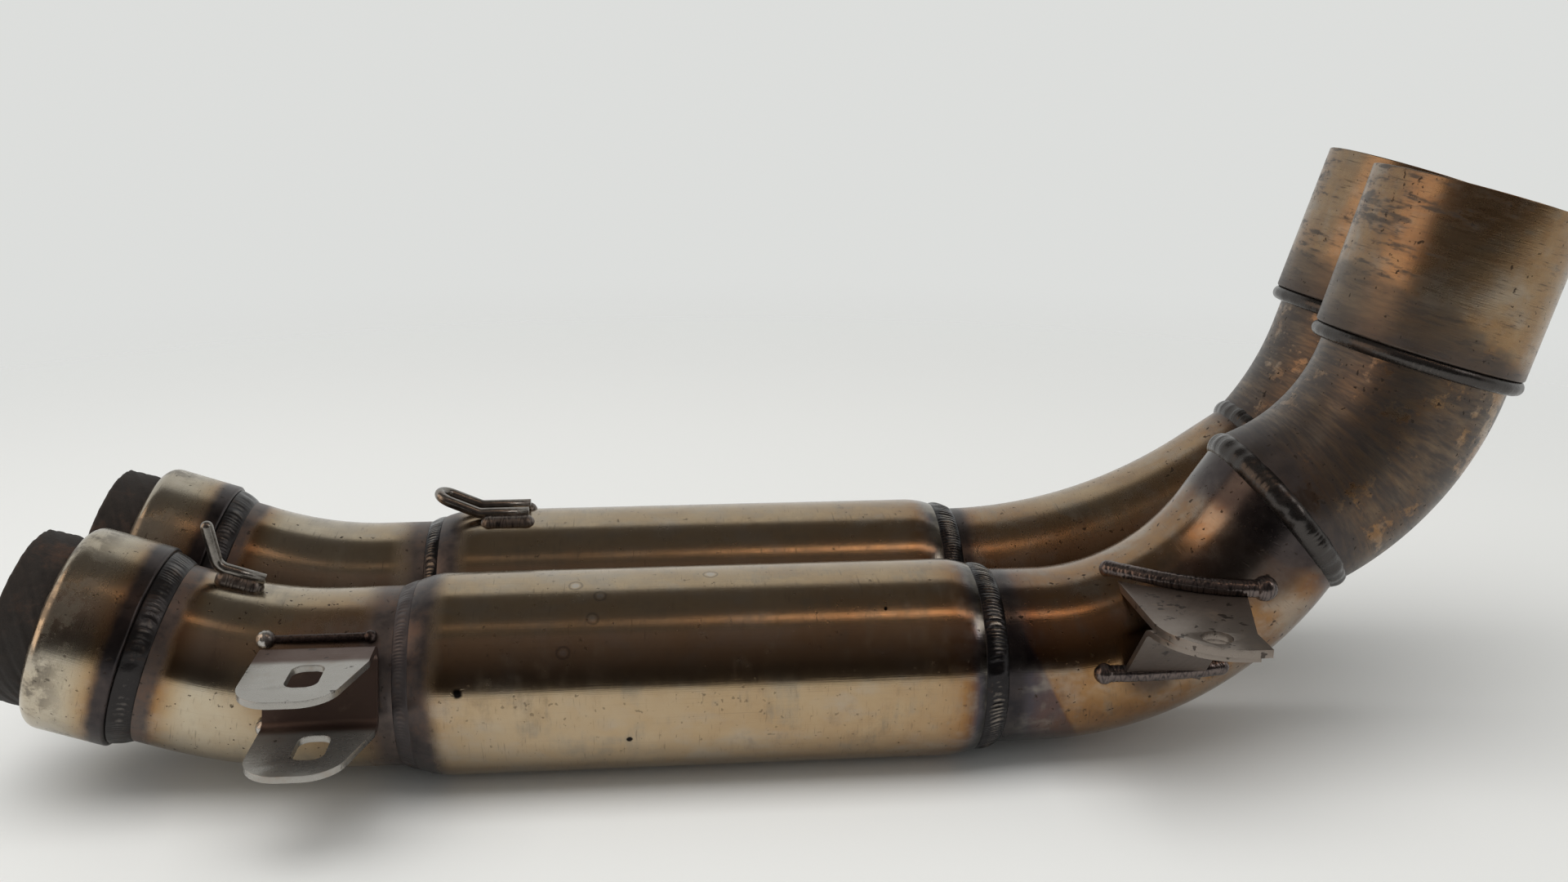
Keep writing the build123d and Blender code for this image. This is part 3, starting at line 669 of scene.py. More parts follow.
def lower_finish(pipe):
    """The heat and the scale of a lower bend. On the outer one the heat steps down at a slanting edge, where
    x + 0.52 z = 120 mm, and the scale lies round the two welds of the bracket."""
    length = pipe.rear_run + pipe.lower[0] * pipe.lower[1] + pipe.tail - mitre_bead_edge
    base = 0.50 if pipe is outer else 0.42

    def near_bracket(g, low, high):
        wavy = 9 * mm * g.patches + 3 * mm * g.mottle
        ear = (g.place.reach(ear_spot) + wavy).step(low * mm, high * mm)
        foot = (g.place.reach(foot_spot) + wavy).step(0.6 * low * mm, 0.6 * high * mm)
        blob = (g.place.reach(blob_spot) + wavy).step(low * mm, 0.9 * high * mm)
        return 1 - ear * foot * blob

    def lower_heat(g):
        wavy = g.wavy(8)
        can_end = (wavy - can_rear_bead).fade(6.0 * mm)
        joint_end = (length - wavy).fade(9.0 * mm)
        warm = base + 0.30 * g.patches + 0.14 * g.mottle + 0.42 * can_end + 0.26 * joint_end
        if pipe is inner:
            return warm
        edge = g.place.part(0) + 0.52 * g.place.part(2) + 5 * mm * g.patches + 2 * mm * g.stains
        return warm + 0.16 * edge.band(119.0, 121.0)

    def lower_scale(g):
        wavy = g.wavy(7, 2)
        can_end = (wavy - can_rear_bead).band(2.0, 6.5)
        joint_end = (length - wavy).band(1.5, 8.0)
        bracket = near_bracket(g, 8, 20) if pipe is outer else 0.0
        return (0.9 * can_end + 0.8 * joint_end + 0.8 * bracket).math("MINIMUM", 0.92)

    return lower_heat, light_film(0.5), lower_scale


for pipe, rough in ((outer, 0.17), (inner, 0.24)):
    line = walk(pipe.can_rear, [(pipe.rear_run,), pipe.lower, (pipe.tail + mitre_lap,)])
    piece = tube(f"{pipe.name}_lower_tube", line, pipe.y, pipe_r, pipe.mitre, keep=1)
    steel = tinted_steel(
        f"{pipe.name}_lower_steel", *lower_finish(pipe), rough=rough, grain=0.3, pits=0.8, worn=0.8
    )
    settle(piece, f"{pipe.name}_lower_bend", steel)


# Outlet bends: short bends from the mitred joints up to the sleeves, of slightly wider tube.
# Smoke has left them brown-grey and dull, with gold showing through in patches.
def outlet_heat(g):
    """Bronze in broad patches."""
    return 0.46 + 0.45 * g.patches + 0.2 * g.mottle


def outlet_film(g):
    """Thick smoke, streaked round the bend and bare in patches, mostly on the side away from the inlet."""
    inlet_side = 2.2 * (205 * mm - g.place.part(0))
    bare = (g.patches + 0.7 * g.stains + 0.35 * g.smears - inlet_side).step(0.05, 0.13)
    return (0.84 - 0.60 * bare + 0.7 * g.smears + 0.7 * g.streaks).math("MINIMUM", 0.94).math("MAXIMUM", 0.05)


def outlet_scale(g):
    """A soft dark band beside the mitred joint."""
    return (g.wavy(9, 3) - mitre_lap).band(3, 15) * 0.75


outlet_steel = tinted_steel(
    "outlet_steel", outlet_heat, outlet_film, outlet_scale,
    rough=0.22, grain=0.6, pits=0.9, worn=0.9, soot=(0.054, 0.046, 0.044),
)
for pipe in pipes:
    line = walk(ahead(pipe.upper_start, -mitre_lap), [(mitre_lap,), pipe.upper, (pipe.rise + wall,)])
    piece = tube(f"{pipe.name}_outlet_tube", line, pipe.y, outlet_r, pipe.mitre, keep=-1)
    settle(piece, f"{pipe.name}_outlet_bend", outlet_steel)

# Outlet sleeves: open stainless cups that the silencer's pipe slips into, turned in at the foot.
# Brushed round and round, bronze with dark smoke stains.
sleeve_r, sleeve_length = 31.1 * mm, 49.6 * mm


def sleeve_heat(g):
    """Bronze in patches, smeared round the cup."""
    return 0.46 + 0.30 * g.patches + 0.15 * g.mottle + 0.10 * g.smears


def sleeve_film(g):
    """Smoke round the foot, along a slanting edge, and in streaks that drift round the cup."""
    slant = 0.4 * (g.place.part(0) - 215 * mm)
    foot = (g.way + slant + 26 * mm * g.patches + 10 * mm * g.stains).band(9, 15)
    drift = (1.2 * g.smears + 0.7 * g.patches + 0.6 * g.stains + 0.9 * g.streaks).step(0.08, 0.32)
    return (0.22 + 0.56 * foot + 0.62 * drift + 0.5 * g.streaks).math("MINIMUM", 0.90).math("MAXIMUM", 0.02)


def sleeve_scale(g):
    """A thin dark band beside the weld at the foot."""
    return g.wavy(6).band(1, 9) * 0.6


sleeve_steel = tinted_steel(
    "sleeve_steel", sleeve_heat, sleeve_film, sleeve_scale, rough=0.23, grain=1.0, pits=0.8, worn=1.0
)
inside, bore = sleeve_r - wall, outlet_r + clearance
sleeve_corners = (
    ((0, bore), 0.2 * mm),
    ((0, sleeve_r), 0.8 * mm),
    ((sleeve_length, sleeve_r), 0.35 * mm),
    ((sleeve_length, inside), 0.35 * mm),
    ((wall, inside), 0.8 * mm),
    ((wall, bore), 0.2 * mm),
)
for pipe in pipes:
    piece = lathe(f"{pipe.name}_sleeve_cup", pipe.sleeve_foot, pipe.y, rounded(sleeve_corners), count=224)
    settle(piece, f"{pipe.name}_outlet_sleeve", sleeve_steel)

# Ring welds: the beads that join sockets, bends, canisters and sleeves.
# Laid by hand in overlapping crescents, dark with oxide and a little rust between the ripples, with a painted
# highlight along each crest.
weld_count, weld_rows, weld_root = 840, 14, 0.8 * mm
inlet_top, sleeve_top = socket_r - 1.0 * mm, sleeve_r - 0.8 * mm
mitre_bead_r, mitre_bead_sunk = 4.2 * mm, 2.3 * mm
weld_rust, weld_silver = (0.085, 0.046, 0.028), (0.50, 0.48, 0.45)


def crescent(phase):
    """A half round for every whole of the phase, 0 to 1: sqrt(1 - u^2), where u goes from -1 to 1."""
    u = 2 * (phase - np.floor(phase)) - 1
    return np.sqrt(np.clip(1 - u**2, 0, 1))


def ripple(t, turn, pitch, seed):
    """Overlapping crescents of a hand-laid ring: their phase is turn / pitch, swept back at the bead's
    edges by (2 t - 1)^2 and wandering with a few slow sines."""
    wander = 0.9 * np.sin(3 * turn + seed) + 0.6 * np.sin(7 * turn + 2.1 * seed)
    wander = wander + 0.35 * np.sin(17 * turn + 3.7 * seed)
    return crescent(turn / pitch + 0.8 * (2 * t - 1) ** 2 + wander)


def ring_weld(name, station, y, outline, depth, pitch, seed, rippled):
    """A ring bead: its outline (along, out) over the top, worn in by lumps, sines of the turn, and by the
    ripple, which is plain in some places and melted smooth in others, and a plain underside. Its lay
    carries where each crest is, and the weld finish paints a highlight there."""
    along, out = outline.T
    t = np.linspace(0, 1, len(along))[:, None]
    turn = turns(weld_count)[None, :]
    plain = 0.5 + 0.5 * np.sin(2 * turn + seed) * np.sin(5 * turn + 1.7 * seed)
    lumps = np.sin(7 * turn + 2.3 * seed + 2 * t) + np.sin(15 * turn + 4.1 * seed - 3 * t)
    lumps = lumps + np.sin(31 * turn + 5.3 * seed)
    crescents = ripple(t, turn, pitch, seed)
    wear = 0.5 - lumps / 6 + rippled * plain * (1 - crescents)
    top = out[:, None] - depth * np.sin(np.pi * t) * wear
    under = np.full((2, weld_count), min(out[0], out[-1]) - weld_root)
    way = np.concatenate([along, along[-1:], along[:1]])
    grid = ring_grid(straight(station, way), np.concatenate([top, under]), y, weld_count)
    # Painted highlight: how bright the weld finish paints each ripple's crest, carried in the lay.
    crest_highlight = 1.6 * rippled * (0.25 + 0.75 * plain) * crescents**4 * np.sin(np.pi * t) ** 2
    return skin(name, grid, lay_of(np.concatenate([crest_highlight, 0 * under]), weld_count))


def arc_through(a, b, c):
    """Points on the circle from a through b to c: its centre is equally far from all three."""
    a, b, c = (np.asarray(p, float) for p in (a, b, c))
    centre = np.linalg.solve(2 * np.array([b - a, c - a]), [b @ b - a @ a, c @ c - a @ a])
    first, middle, last = (np.arctan2(*(p - centre)[::-1]) for p in (a, b, c))
    sweep = (last - first) % (2 * np.pi)
    sweep = sweep if (middle - first) % (2 * np.pi) < sweep else sweep - 2 * np.pi
    turn = first + sweep * np.linspace(0, 1, weld_rows)
    return centre + np.linalg.norm(a - centre) * np.stack([np.cos(turn), np.sin(turn)], 1)


def canister_bead(spread, lap, high):
    """Outline of a bead from the pipe, over its crest, onto the canister's shoulder."""
    return arc_through((-spread, pipe_r), ((lap - spread) / 2, pipe_r + high), (lap, shoulder_r(lap)))


def mitre_bead(pipe):
    """Outline of the raised bead on a mitred joint: a half round sunk into the mean radius of its oval."""
    joint_r = (pipe_r + outlet_r) / 2 * (1 + 1 / np.cos(pipe.kink / 2)) / 2
    a = np.linspace(np.pi, 0, weld_rows)
    return np.stack([mitre_bead_r * np.cos(a), joint_r - mitre_bead_sunk + mitre_bead_r * np.sin(a)], 1)


def weld_metal(name, dark, bright, rusty, rough, metal=0.9, silver=None):
    """Oxidised weld: a painted highlight on each crest that the lay gives, dark oxide between them, with rust
    in patches. Where silver gives an x and a width, the end of the run there is clean and bright."""
    material, shader, place = blank(name)
    patches = place.noise(110.0, 4.0, 0.6)
    fine = place.noise(700.0, 4.0, 0.65)
    # The lay's first part lifts the colour on each ripple's crest: a painted highlight.
    colour = (0.6 * patches + 0.8 * fine + 0.85 * lay_on(place).part(0)).ramp((0.18, dark), (0.80, bright))
    colour = colour.tint(weld_rust, (patches + 0.6 * fine).step(0.06, 0.26) * rusty)
    dullness = rough + 0.25 * patches + 0.2 * fine
    if silver:
        start, width = silver
        clean = 1 - (place.part(0) - start).step(-0.1 * width, 0.6 * width)
        colour = colour.tint(weld_silver, clean * 0.85)
        dullness = dullness - 0.12 * clean
    dress(shader, colour, metal, dullness, (fine + 0.6 * patches).bump(0.4, 0.2 * mm))
    return material


weld_oxide = weld_metal("weld_oxide", (0.034, 0.031, 0.031), (0.19, 0.17, 0.155), rusty=0.3, rough=0.32)
weld_dull = weld_metal(
    "weld_dull", (0.055, 0.046, 0.046), (0.115, 0.092, 0.086), rusty=0.3, rough=0.42, metal=0.55
)
weld_bright = weld_metal("weld_bright", (0.026, 0.024, 0.025), (0.30, 0.26, 0.22), rusty=0.15, rough=0.24)
weld_smoky = weld_metal("weld_smoky", (0.062, 0.056, 0.053), (0.19, 0.168, 0.15), rusty=0.25, rough=0.28)
inlet_crest = (inlet_bead / 2, (inlet_top + pipe_r) / 2 + 0.6 * mm)
inlet_arc = arc_through((0, inlet_top), inlet_crest, (inlet_bead, pipe_r))
front_arc = canister_bead(can_front_bead, 1.8 * mm, 1.3 * mm)
rear_arc = (canister_bead(can_rear_bead, 3.0 * mm, 2.3 * mm) * (-1, 1))[::-1]
sleeve_arc = arc_through((-3.8 * mm, outlet_r), (-1.7 * mm, sleeve_r + 0.6 * mm), (0, sleeve_top))
for number, (pipe, front_metal) in enumerate(((outer, weld_dull), (inner, weld_bright))):
    # name, node, station, outline, depth in mm, pitch as a turn, seed, ripple and finish
    beads = (
        ("inlet", "inlet", pipe.socket_back, inlet_arc, 0.6, 0.06, 1.3, 0.4, weld_oxide),
        ("canister_front", "canister_front", pipe.can_front, front_arc, 0.55, 0.045, 3.2, 0.6, front_metal),
        ("canister_rear", "canister_rear", pipe.can_rear, rear_arc, 1.05, 0.045, 1.2, 0.6, weld_bright),
        ("sleeve", "outlet", pipe.sleeve_foot, sleeve_arc, 0.25, 0.06, 4.1, 0.2, weld_smoky),
        ("mitre", "mitre", pipe.mitre, mitre_bead(pipe), 0.8, 0.10, 5.5, 0.2, weld_smoky),
    )
    for name, node, station, outline, depth, pitch, seed, rippled, metal in beads:
        name = f"{pipe.name}_{name}_bead"
        piece = ring_weld(name, station, pipe.y, outline, depth * mm, pitch, seed + number, rippled)
        settle(piece, f"{pipe.name}_{node}_weld", metal)

# Tie welds: two short runs in the valley between the canisters that hold the pair together.
# Plain stitches of the same weld metal; the solid's shape is kept.
coated("tie_welds", weld_oxide)

# Front bracket: one strip of steel folded to two slotted ears, its web welded to the outer pipe.
# The ears are bare and pale with bright worn edges, and the web between them is red-brown.
bracket_edge = 0.35 * mm
sheet_brown, sheet_black = (0.30, 0.22, 0.16), (0.03, 0.023, 0.019)


def plate(node, name, edge):
    """A copy of a sheet-metal solid with its triangles joined and its edges broken by a small bevel."""
    mesh = frame["nodes"][node].data.copy()
    mesh.name = name
    mesh.materials.clear()
    work = bmesh.new()
    work.from_mesh(mesh)
    bmesh.ops.remove_doubles(work, verts=work.verts, dist=2e-6)
    bmesh.ops.dissolve_limit(work, angle_limit=np.radians(0.6), verts=work.verts, edges=work.edges)
    bmesh.ops.recalc_face_normals(work, faces=work.faces)
    work.to_mesh(mesh)
    work.free()
    mesh.polygons.foreach_set("use_smooth", np.ones(len(mesh.polygons), bool))
    piece = placed(name, mesh)
    bevel = piece.modifiers.new("edge", "BEVEL")
    bevel.width = edge
    bevel.segments = 3
    bevel.limit_method = "ANGLE"
    bevel.angle_limit = np.radians(40)
    bevel.harden_normals = True
    return piece


def sheet_steel(name, pale, brown, stain, rough, specked):
    """Bare sheet steel: pale where rubbed, brown where the heat and dirt have lain, with pits and scratches.
    stain says how brown each place is, and specked how many the pits are."""
    material, shader, place = blank(name)
    patches = place.noise(60.0, 4.0, 0.6)
    fine = place.noise(420.0, 4.0, 0.65)
    scratches = place.stretch(60.0, 900.0, 900.0).noise(1.0, 3.0, 0.6)
    amount = stain(place, patches)
    colour = amount.ramp((0.0, pale), (1.0, brown))
    colour = colour.tint(sheet_brown, (patches + 0.5 * fine).step(0.05, 0.30) * 0.45)
    specks = (place.noise(300.0, 3.0, 0.5) + 0.2 * patches + specked).step(0.19, 0.24)
    colour = colour.tint(sheet_black, specks * 0.8)
    dullness = rough + 0.2 * patches + 0.15 * fine + 0.1 * scratches + 0.15 * amount
    dress(shader, colour, 0.78, dullness, (fine + 0.5 * scratches - 0.8 * specks).bump(0.3, 0.15 * mm))
    return material


def front_stain(place, patches):
    """Brown on the web, from the fold inwards."""
    return (place.part(1) + 2 * mm * patches).step(-69 * mm, -65 * mm) * 0.92


front_steel = sheet_steel(
    "front_bracket_steel", (0.35, 0.335, 0.31), (0.085, 0.046, 0.034), front_stain, rough=0.28, specked=0.0
)
piece = plate("front_bracket", "front_bracket_strip", bracket_edge)
settle(piece, "front_bracket", front_steel)


# Rear bracket: a level ear plate with a bolt hole and a folded brace below it, both welded to the lower bend.
# Grey-brown bare sheet with black specks, worn bright along the front edge.
def rear_stain(place, patches):
    """Brown close to the pipe."""
    return (place.part(1) + 10 * mm * patches).step(-92 * mm, -58 * mm) * 0.75


rear_steel = sheet_steel(
    "rear_bracket_steel", (0.235, 0.20, 0.172), (0.085, 0.058, 0.045), rear_stain, rough=0.30, specked=0.06
)
for node, name, edge in (("ear", "plate", bracket_edge), ("brace", "strut", 0.3 * mm)):
    piece = plate(f"rear_bracket_{node}", f"rear_bracket_{name}", edge)
    settle(piece, f"rear_bracket_{node}", rear_steel)

# Bracket welds: short runs of bead along the seams of the two brackets, with fat blobs at their ends.
# Blue-black and shiny on the rear bracket, and brown on the front one, with a clean silvery blob at one end.
run_steps, run_end_steps, run_columns, pinch = 220, 24, 28, 0.02 * mm
bracket_start, bracket_width, seam_r = -124.7 * mm, 29.4 * mm, 27.9 * mm


def run_grid(path, normal, radius, count, depth, pitch, seed):
    """A bead along a path and the height of its ripple: C + r (cos a N + sin a B), where N is square to the
    path and nearest to normal, B = T x N, and the crescents take up to depth off the radius."""
    tangent = unit(np.gradient(path, axis=0))
    up = unit(normal - (tangent @ normal)[:, None] * tangent)
    side = np.cross(tangent, up)
    way = way_along(path)
    a = turns(count)
    wander = 0.6 * np.sin(way * 900 + seed) + 0.4 * np.sin(way * 2300 + 2 * seed)
    crest = crescent((way / pitch + wander)[:, None] + 0.7 * np.abs(np.sin(a)))
    out = radius[:, None] + depth * (crest - 1) * (radius > depth * 2)[:, None]
    around = np.cos(a)[:, None] * up[:, None] + np.sin(a)[:, None] * side[:, None]
    return path[:, None] + np.maximum(out, pinch)[:, :, None] * around, crest


def ball_ended(way, radius, first, last):
    """Radius along a run with round ends: r in the middle, swelling to the two end balls, sqrt(b^2 - x^2)."""
    length = way[-1]
    head = np.sqrt(np.clip(first**2 - (way - first) ** 2, 0, None))
    foot = np.sqrt(np.clip(last**2 - (length - last - way) ** 2, 0, None))
    middle = np.where((way > first) & (way < length - last), radius, 0)
    return np.maximum(np.maximum(head, foot), middle)


def weld_run(name, points, normal, radius, first, last, seed, depth, pitch):
    """A run of weld on the smooth curve a (1 - t)^2 + 2 t (1 - t) q + c t^2 that goes through its three
    points, drawn out at each end by the radius of the ball there."""
    a, b, c = np.asarray(points, float)
    t = np.linspace(0, 1, run_steps)[:, None]
    path = (1 - t) ** 2 * a + 2 * t * (1 - t) * (2 * b - (a + c) / 2) + t**2 * c
    drawn = np.linspace(1, 0, run_end_steps, endpoint=False)[:, None]
    head = path[0] - unit(path[1] - path[0]) * first * drawn
    foot = path[-1] + unit(path[-1] - path[-2]) * last * drawn[::-1]
    path = np.concatenate([head, path, foot])
    balls = ball_ended(way_along(path), radius, first, last)
    grid, crest = run_grid(path, np.asarray(normal, float), balls, run_columns, depth, pitch, seed)
    # The ripple's crest goes into the lay, where the weld finish paints a highlight on it.
    return skin(name, grid, lay_of(crest, run_columns), close_rows=False)


def bend_side(x, z):
    """The point on the near side of the outer lower bend at x and z: y = axis - sqrt(r^2 - inward^2)."""
    start = ahead(outer.can_rear, outer.rear_run)
    inward = outer.lower[0] - np.hypot(x - start[0], start[1] + outer.lower[0] - z)
    return (x, outer.y - np.sqrt(pipe_r**2 - inward**2), z)


def seam(height):
    """Three points along the front bracket's web at a height over the axis, where the side of the pipe
    is at y = axis - sqrt(r^2 - height^2)."""
    y = outer.y - np.sqrt(seam_r**2 - height**2)
    return [(bracket_start + k * bracket_width / 2, y, can_od / 2 + height) for k in (0, 1, 2)]


front_weld = weld_metal(
    "front_bracket_weld", (0.040, 0.031, 0.029), (0.10, 0.075, 0.068), rusty=0.4, rough=0.36,
    silver=(bracket_start, 4.5 * mm),
)
rear_weld = weld_metal("rear_bracket_weld", (0.030, 0.027, 0.029), (0.15, 0.12, 0.11), rusty=0.2, rough=0.22)
ear_points = [bend_side(x * mm, 60.4 * mm) for x in (125.1, 148.0, 166.5)]
brace_points = [bend_side(x * mm, 34.7 * mm) for x in (119.5, 137.75, 156.0)]
# name, path, normal, radii of the run and its end blobs, seed, depth, pitch and finish, with lengths in mm
runs = (
    ("front_bracket_upper", seam(20.5 * mm), (0, -1, 0.4), (1.2, 2.8, 1.9), 0.4, 0.15, 3.4, front_weld),
    ("front_bracket_lower", seam(-2.7 * mm), (0, -1, 0.4), (1.2, 2.8, 1.9), 1.9, 0.15, 3.4, front_weld),
    ("rear_bracket_ear", ear_points, (0, -0.5, 1), (2.6, 2.6, 3.9), 0.7, 0.18, 4.2, rear_weld),
    ("rear_bracket_brace", brace_points, (0, -1, 0.2), (2.6, 3.2, 2.6), 2.6, 0.18, 4.2, rear_weld),
)
for name, points, normal, radii, seed, depth, pitch, metal in runs:
    piece = weld_run(f"{name}_bead", points, normal, *(r * mm for r in radii), seed, depth * mm, pitch * mm)
    settle(piece, f"{name}_weld", metal)

# Spring hooks: bent steel wire that the silencer and socket springs clip to, each on its weld pads.
# Dark oxidised wire, mottled, with rust in patches.
wire_r, wire_foot, wire_columns = 1.8 * mm, 0.05 * mm, 32
hook_fold, fold_steps, tip_steps = 4.4 * mm, 14, 7
front_hook_angle, outlet_hook_angle = np.radians(19.0), np.radians(36.0)
pad_depth, pad_pitch, pad_swell = 0.14 * mm, 4.4 * mm, 1.06


def bent_path(points):
    """A path through points with its inner corners rounded by the hook's fold."""
    points = np.asarray(points, float)
    sides = unit(np.diff(points, axis=0))
    arcs = fillets(points[1:-1], sides[:-1], sides[1:], hook_fold, fold_steps)
    return np.concatenate([points[:1], arcs, points[-1:]])


def wire(name, points, normal, tip_round):
    """A wire hook along a bent path, with a cut foot and a rounded tip: past the path's end by c r the
    radius is r sqrt(1 - c^2), drawn out or pressed flat by tip_round."""
    path = bent_path(points)
    cap = np.sin(np.linspace(0, np.pi / 2, tip_steps + 1))[1:]
    foot = path[:1] + unit(path[1] - path[0]) * wire_foot
    tip = path[-1] + unit(path[-1] - path[-2]) * cap[:, None] * wire_r * tip_round
    path = np.concatenate([path[:1], foot, path[1:], tip])
    radius = np.full(len(path), wire_r)
    radius[0] = pinch
    radius[-tip_steps:] = wire_r * np.sqrt(np.clip(1 - cap**2, 0.0002, 1))
    normal = np.asarray(normal, float)
    grid, crest = run_grid(path, normal, radius, wire_columns, depth=0.0, pitch=1.0, seed=0.0)
    return skin(name, grid, lay_of(crest, wire_columns), close_rows=False)


hook_steel, shader, place = blank("hook_wire_steel")
patches = place.noise(150.0, 4.0, 0.6)
fine = place.noise(900.0, 3.0, 0.6)
colour = (patches + 0.5 * fine + 0.5).ramp((0.3, (0.15, 0.135, 0.12)), (0.8, (0.36, 0.335, 0.305)))
colour = colour.tint((0.09, 0.04, 0.02), (patches - 0.4 * fine).step(0.06, 0.22) * 0.5)
dress(shader, colour, 0.95, 0.24 + 0.15 * patches + 0.1 * fine, (fine + patches).bump(0.3, 0.1 * mm))
pad_metal = weld_metal("hook_pad_weld", (0.055, 0.046, 0.042), (0.19, 0.16, 0.14), rusty=0.4, rough=0.36)


def local(station, y, turn):
    """A function from (along, out) at a station to a point, C + along H + out (cos turn up + sin turn
    side), with its two directions."""
    c, s = np.cos(station[2]), np.sin(station[2])
    heading = np.array([c, 0, s])
    out = np.array([-s * np.cos(turn), np.sin(turn), c * np.cos(turn)])
    centre = np.array([station[0], y, station[1]])
    return (lambda along, high: centre + along * heading + high * out), heading, out


def weld_pad(name, points, out, radius, ball, seed):
    """A short fat run of weld that holds a hook's foot."""
    pad = weld_run(f"{name}_pad", points, out, radius, ball, ball, seed, pad_depth, pad_pitch)
    settle(pad, f"{name}_weld", pad_metal)


def spring_hook(name, station, skin_r, turn, foot, tip, lift, stand, pad, seed):
    """A wire hook whose tip leans up from its foot, and the weld pad that holds the foot to the pipe, in
    millimetres and degrees. pad gives where it starts and ends, its height over the pipe and its radius."""
    at, heading, out = local(station, outer.y, np.radians(turn))
    high = skin_r + stand * mm + wire_r
    rise, run = tip * mm * np.sin(np.radians(lift)), tip * mm * np.cos(np.radians(lift))
    points = [at(foot * mm, high), at(0, high), at(-run, high + rise)]
    piece = wire(f"{name}_wire", points, np.cross(heading, out), tip_round=1.0)
    settle(piece, name, hook_steel)
    first, last, over, radius = np.array(pad) * mm
    points = [at(k, skin_r + over) for k in (first, (first + last) / 2, last)]
    weld_pad(name, points, out, radius, radius * pad_swell, seed)


station = before(outer.front_end, front_radius, front_hook_angle)
spring_hook(
    "front_hook", station, pipe_r, turn=0, foot=14.0, tip=12.6, lift=62, stand=1.9,
    pad=(3.4, 11.0, 0.3, 3.2), seed=0.3,
)
station = turned(outer.upper_start, outer.upper[0], outlet_hook_angle)
spring_hook(
    "outlet_hook", station, outlet_r, turn=160, foot=12.0, tip=8.0, lift=65, stand=0.3,
    pad=(3.5, 9.5, 0.4, 2.9), seed=1.2,
)

leg_r, leg_side, leg_start, leg_length = can_r + wire_r + 0.2 * mm, 4.5 * mm, 14.5 * mm, 16.5 * mm
loop_length, loop_lift = 14.5 * mm, np.radians(24)
leg_turn = np.arcsin(leg_side / leg_r)
leg_x, leg_z = inner.can_front[0] + leg_start, can_r + leg_r * np.cos(leg_turn)
loop_x, loop_z = leg_x - loop_length * np.cos(loop_lift), leg_z + loop_length * np.sin(loop_lift)
leg = [(leg_x + leg_length, leg_z), (leg_x, leg_z), (loop_x, loop_z)]
points = [(x, inner.y - leg_side, z) for x, z in leg] + [(x, inner.y + leg_side, z) for x, z in leg[::-1]]
pad_turn, pad_r, pad_ball, pad_out = leg_turn + np.radians(5.5), 2.9 * mm, 3.07 * mm, can_r - 0.7 * mm
piece = wire("canister_hook_wire", points, (0, 0, 1), tip_round=0.02)
settle(piece, "canister_hook", hook_steel)
for name, side, seed in (("near", -1, 0.8), ("far", 1, 2.3)):
    at, heading, out = local(inner.can_front, inner.y, side * pad_turn)
    points = [at(k * mm, pad_out) for k in (18.0, 24.0, 30.0)]
    weld_pad(f"canister_hook_{name}", points, out, pad_r, pad_ball, seed)

# Studio: a pale floor and surroundings, a soft light above, and panels that show only in the metal: a dim
# front and ceiling, a warm strip overhead, a warm side at the left and a white glow at the right.
# The camera stands where it looks at the header from the brackets' side, a little above.
room_top = 1.9
top_glow, side_glow, right_glow = (0.085, 0.077, 0.069), (1.3, 0.98, 0.74), (3.0, 2.9, 2.8)


def flat(name, corner, across, up):
    """One flat panel of the studio from a corner and its two sides, with its finish still to set."""
    corner, across, up = np.array([corner, across, up], float)
    mesh = bpy.data.meshes.new(name)
    mesh.from_pydata([corner, corner + across, corner + across + up, corner + up], [], [(0, 1, 2, 3)])
    panel = placed(name, mesh)
    material, shader, place = blank(name)
    mesh.materials.append(material)
    return panel, shader, place


def aimed(place, right, up, back):
    """The matrix of a lamp or camera at a place, from its three directions."""
    return Matrix.Translation(place) @ Matrix(np.stack([right, up, back], 1).tolist()).to_4x4()


def front_glow(place):
    """Nearly black low down, and dim brown at the top."""
    rise = place.part(2) * (1 / room_top)
    return rise.ramp((0.25, (0.013, 0.009, 0.008)), (1.0, (0.145, 0.110, 0.098)))


def strip_glow(place):
    """Faint at the left, and strong and orange at the right."""
    return place.part(0).step(-0.1, 0.6).ramp((0.0, (0.42, 0.31, 0.23)), (1.0, (3.4, 2.2, 1.45)))


panel, shader, place = flat("floor", (-2, -2, 0), (4, 0, 0), (0, 4, 0))
cloud = place.noise(3.0, 2.0, 0.5)
near = 1 - place.reach((0, 0, 0)).step(0.32, 0.95)
feed(shader, {"Base Color": (0.80, 0.80, 0.79, 1.0), "Specular IOR Level": 0.15})
feed(shader, {"Roughness": 0.6 + 0.05 * cloud, "Alpha": near})

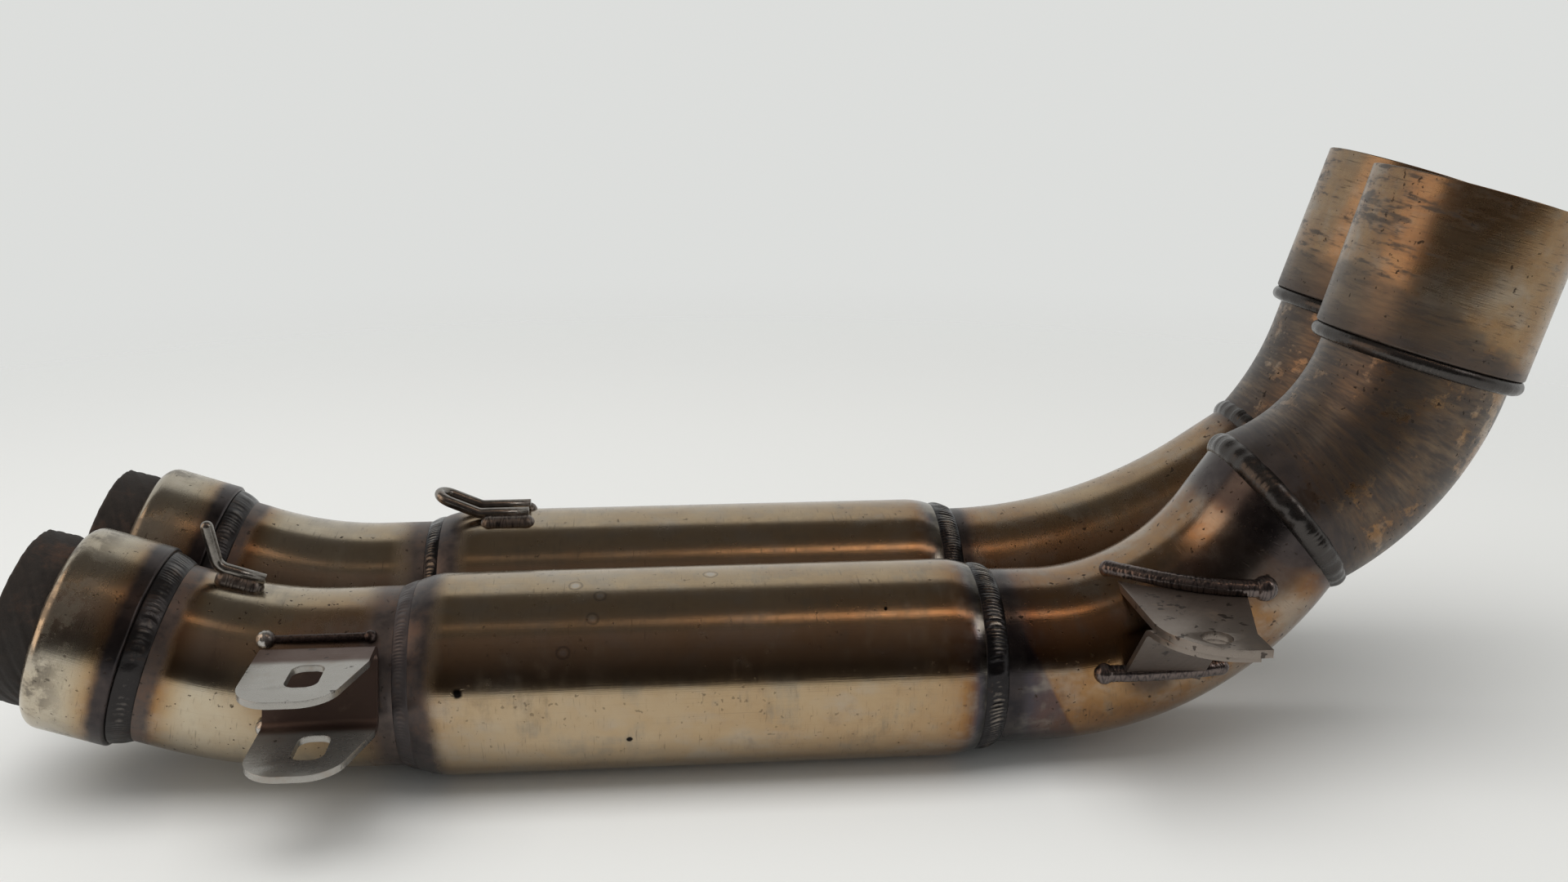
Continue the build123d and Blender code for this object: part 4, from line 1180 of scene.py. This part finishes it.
panels = (
    ("dim_front", (-3, -1.6, 0), (6, 0, 0), (0, 0.6, room_top), front_glow),
    ("dim_top", (-3, -1, room_top), (6, 0, 0), (0, 2.1, 0), top_glow),
    ("warm_strip", (-1.5, -0.6, 1.85), (3, 0, 0), (0, 0.12, 0), strip_glow),
    ("warm_side", (-1.1, 0.3, 0.1), (0, -0.9, 0), (0, 0, 1.25), side_glow),
    ("right_glow", (1, -0.75, 0.75), (0, 0.5, 0), (0, 0, 0.35), right_glow),
)
for name, corner, across, up, glow in panels:
    panel, shader, place = flat(name, corner, across, up)
    glow = glow(place) if callable(glow) else (*glow, 1.0)
    feed(shader, {"Base Color": (0, 0, 0, 1), "Roughness": 1.0})
    feed(shader, {"Emission Color": glow, "Emission Strength": 1.0})
    panel.visible_camera = False
    panel.visible_shadow = False
    panel.visible_diffuse = False

softbox = bpy.data.lights.new("softbox", "AREA")
softbox.shape = "RECTANGLE"
softbox.size, softbox.size_y = 2.2, 1.2
softbox.energy = 19.0
softbox.color = (1.0, 0.99, 0.97)
lamp = placed("softbox", softbox)
lamp_place = np.array([-0.30, -0.25, 1.5])
back = unit(lamp_place)
right = unit(np.cross([0, 1, 0], back))
lamp.matrix_world = aimed(lamp_place, right, np.cross(back, right), back)
lamp.visible_glossy = False

world = bpy.data.worlds.new("studio")
bpy.context.scene.world = world
world.use_nodes = True
pale = world.node_tree.nodes["Background"]
start = Shade(world.node_tree, pale.outputs[0])
rays = ("Is Camera Ray", "Is Glossy Ray", "Is Transmission Ray")
seen = sum(start.node("ShaderNodeLightPath", out=ray) for ray in rays).math("MINIMUM", 1.0)
feed(pale, {"Color": (0.72, 0.73, 0.715, 1.0), "Strength": seen * 0.30 + 0.70})

camera = placed("camera", bpy.data.cameras.new("camera"))
camera.data.sensor_width = 36.0
camera.data.lens = 33.72
camera.data.clip_start = 0.01
camera_place = np.array([-13.3, -451.9, 216.8]) * mm
pitch, yaw, roll = np.radians((15.259, 5.286, 0.189))
forward = np.array([np.sin(yaw) * np.cos(pitch), np.cos(yaw) * np.cos(pitch), -np.sin(pitch)])
right = np.array([np.cos(yaw), -np.sin(yaw), 0.0])
up = np.cross(right, forward)
right, up = np.cos(roll) * right + np.sin(roll) * up, np.cos(roll) * up - np.sin(roll) * right
camera.matrix_world = aimed(camera_place, right, up, -forward)
bpy.context.scene.camera = camera
bpy.context.scene.view_settings.view_transform = "Standard"
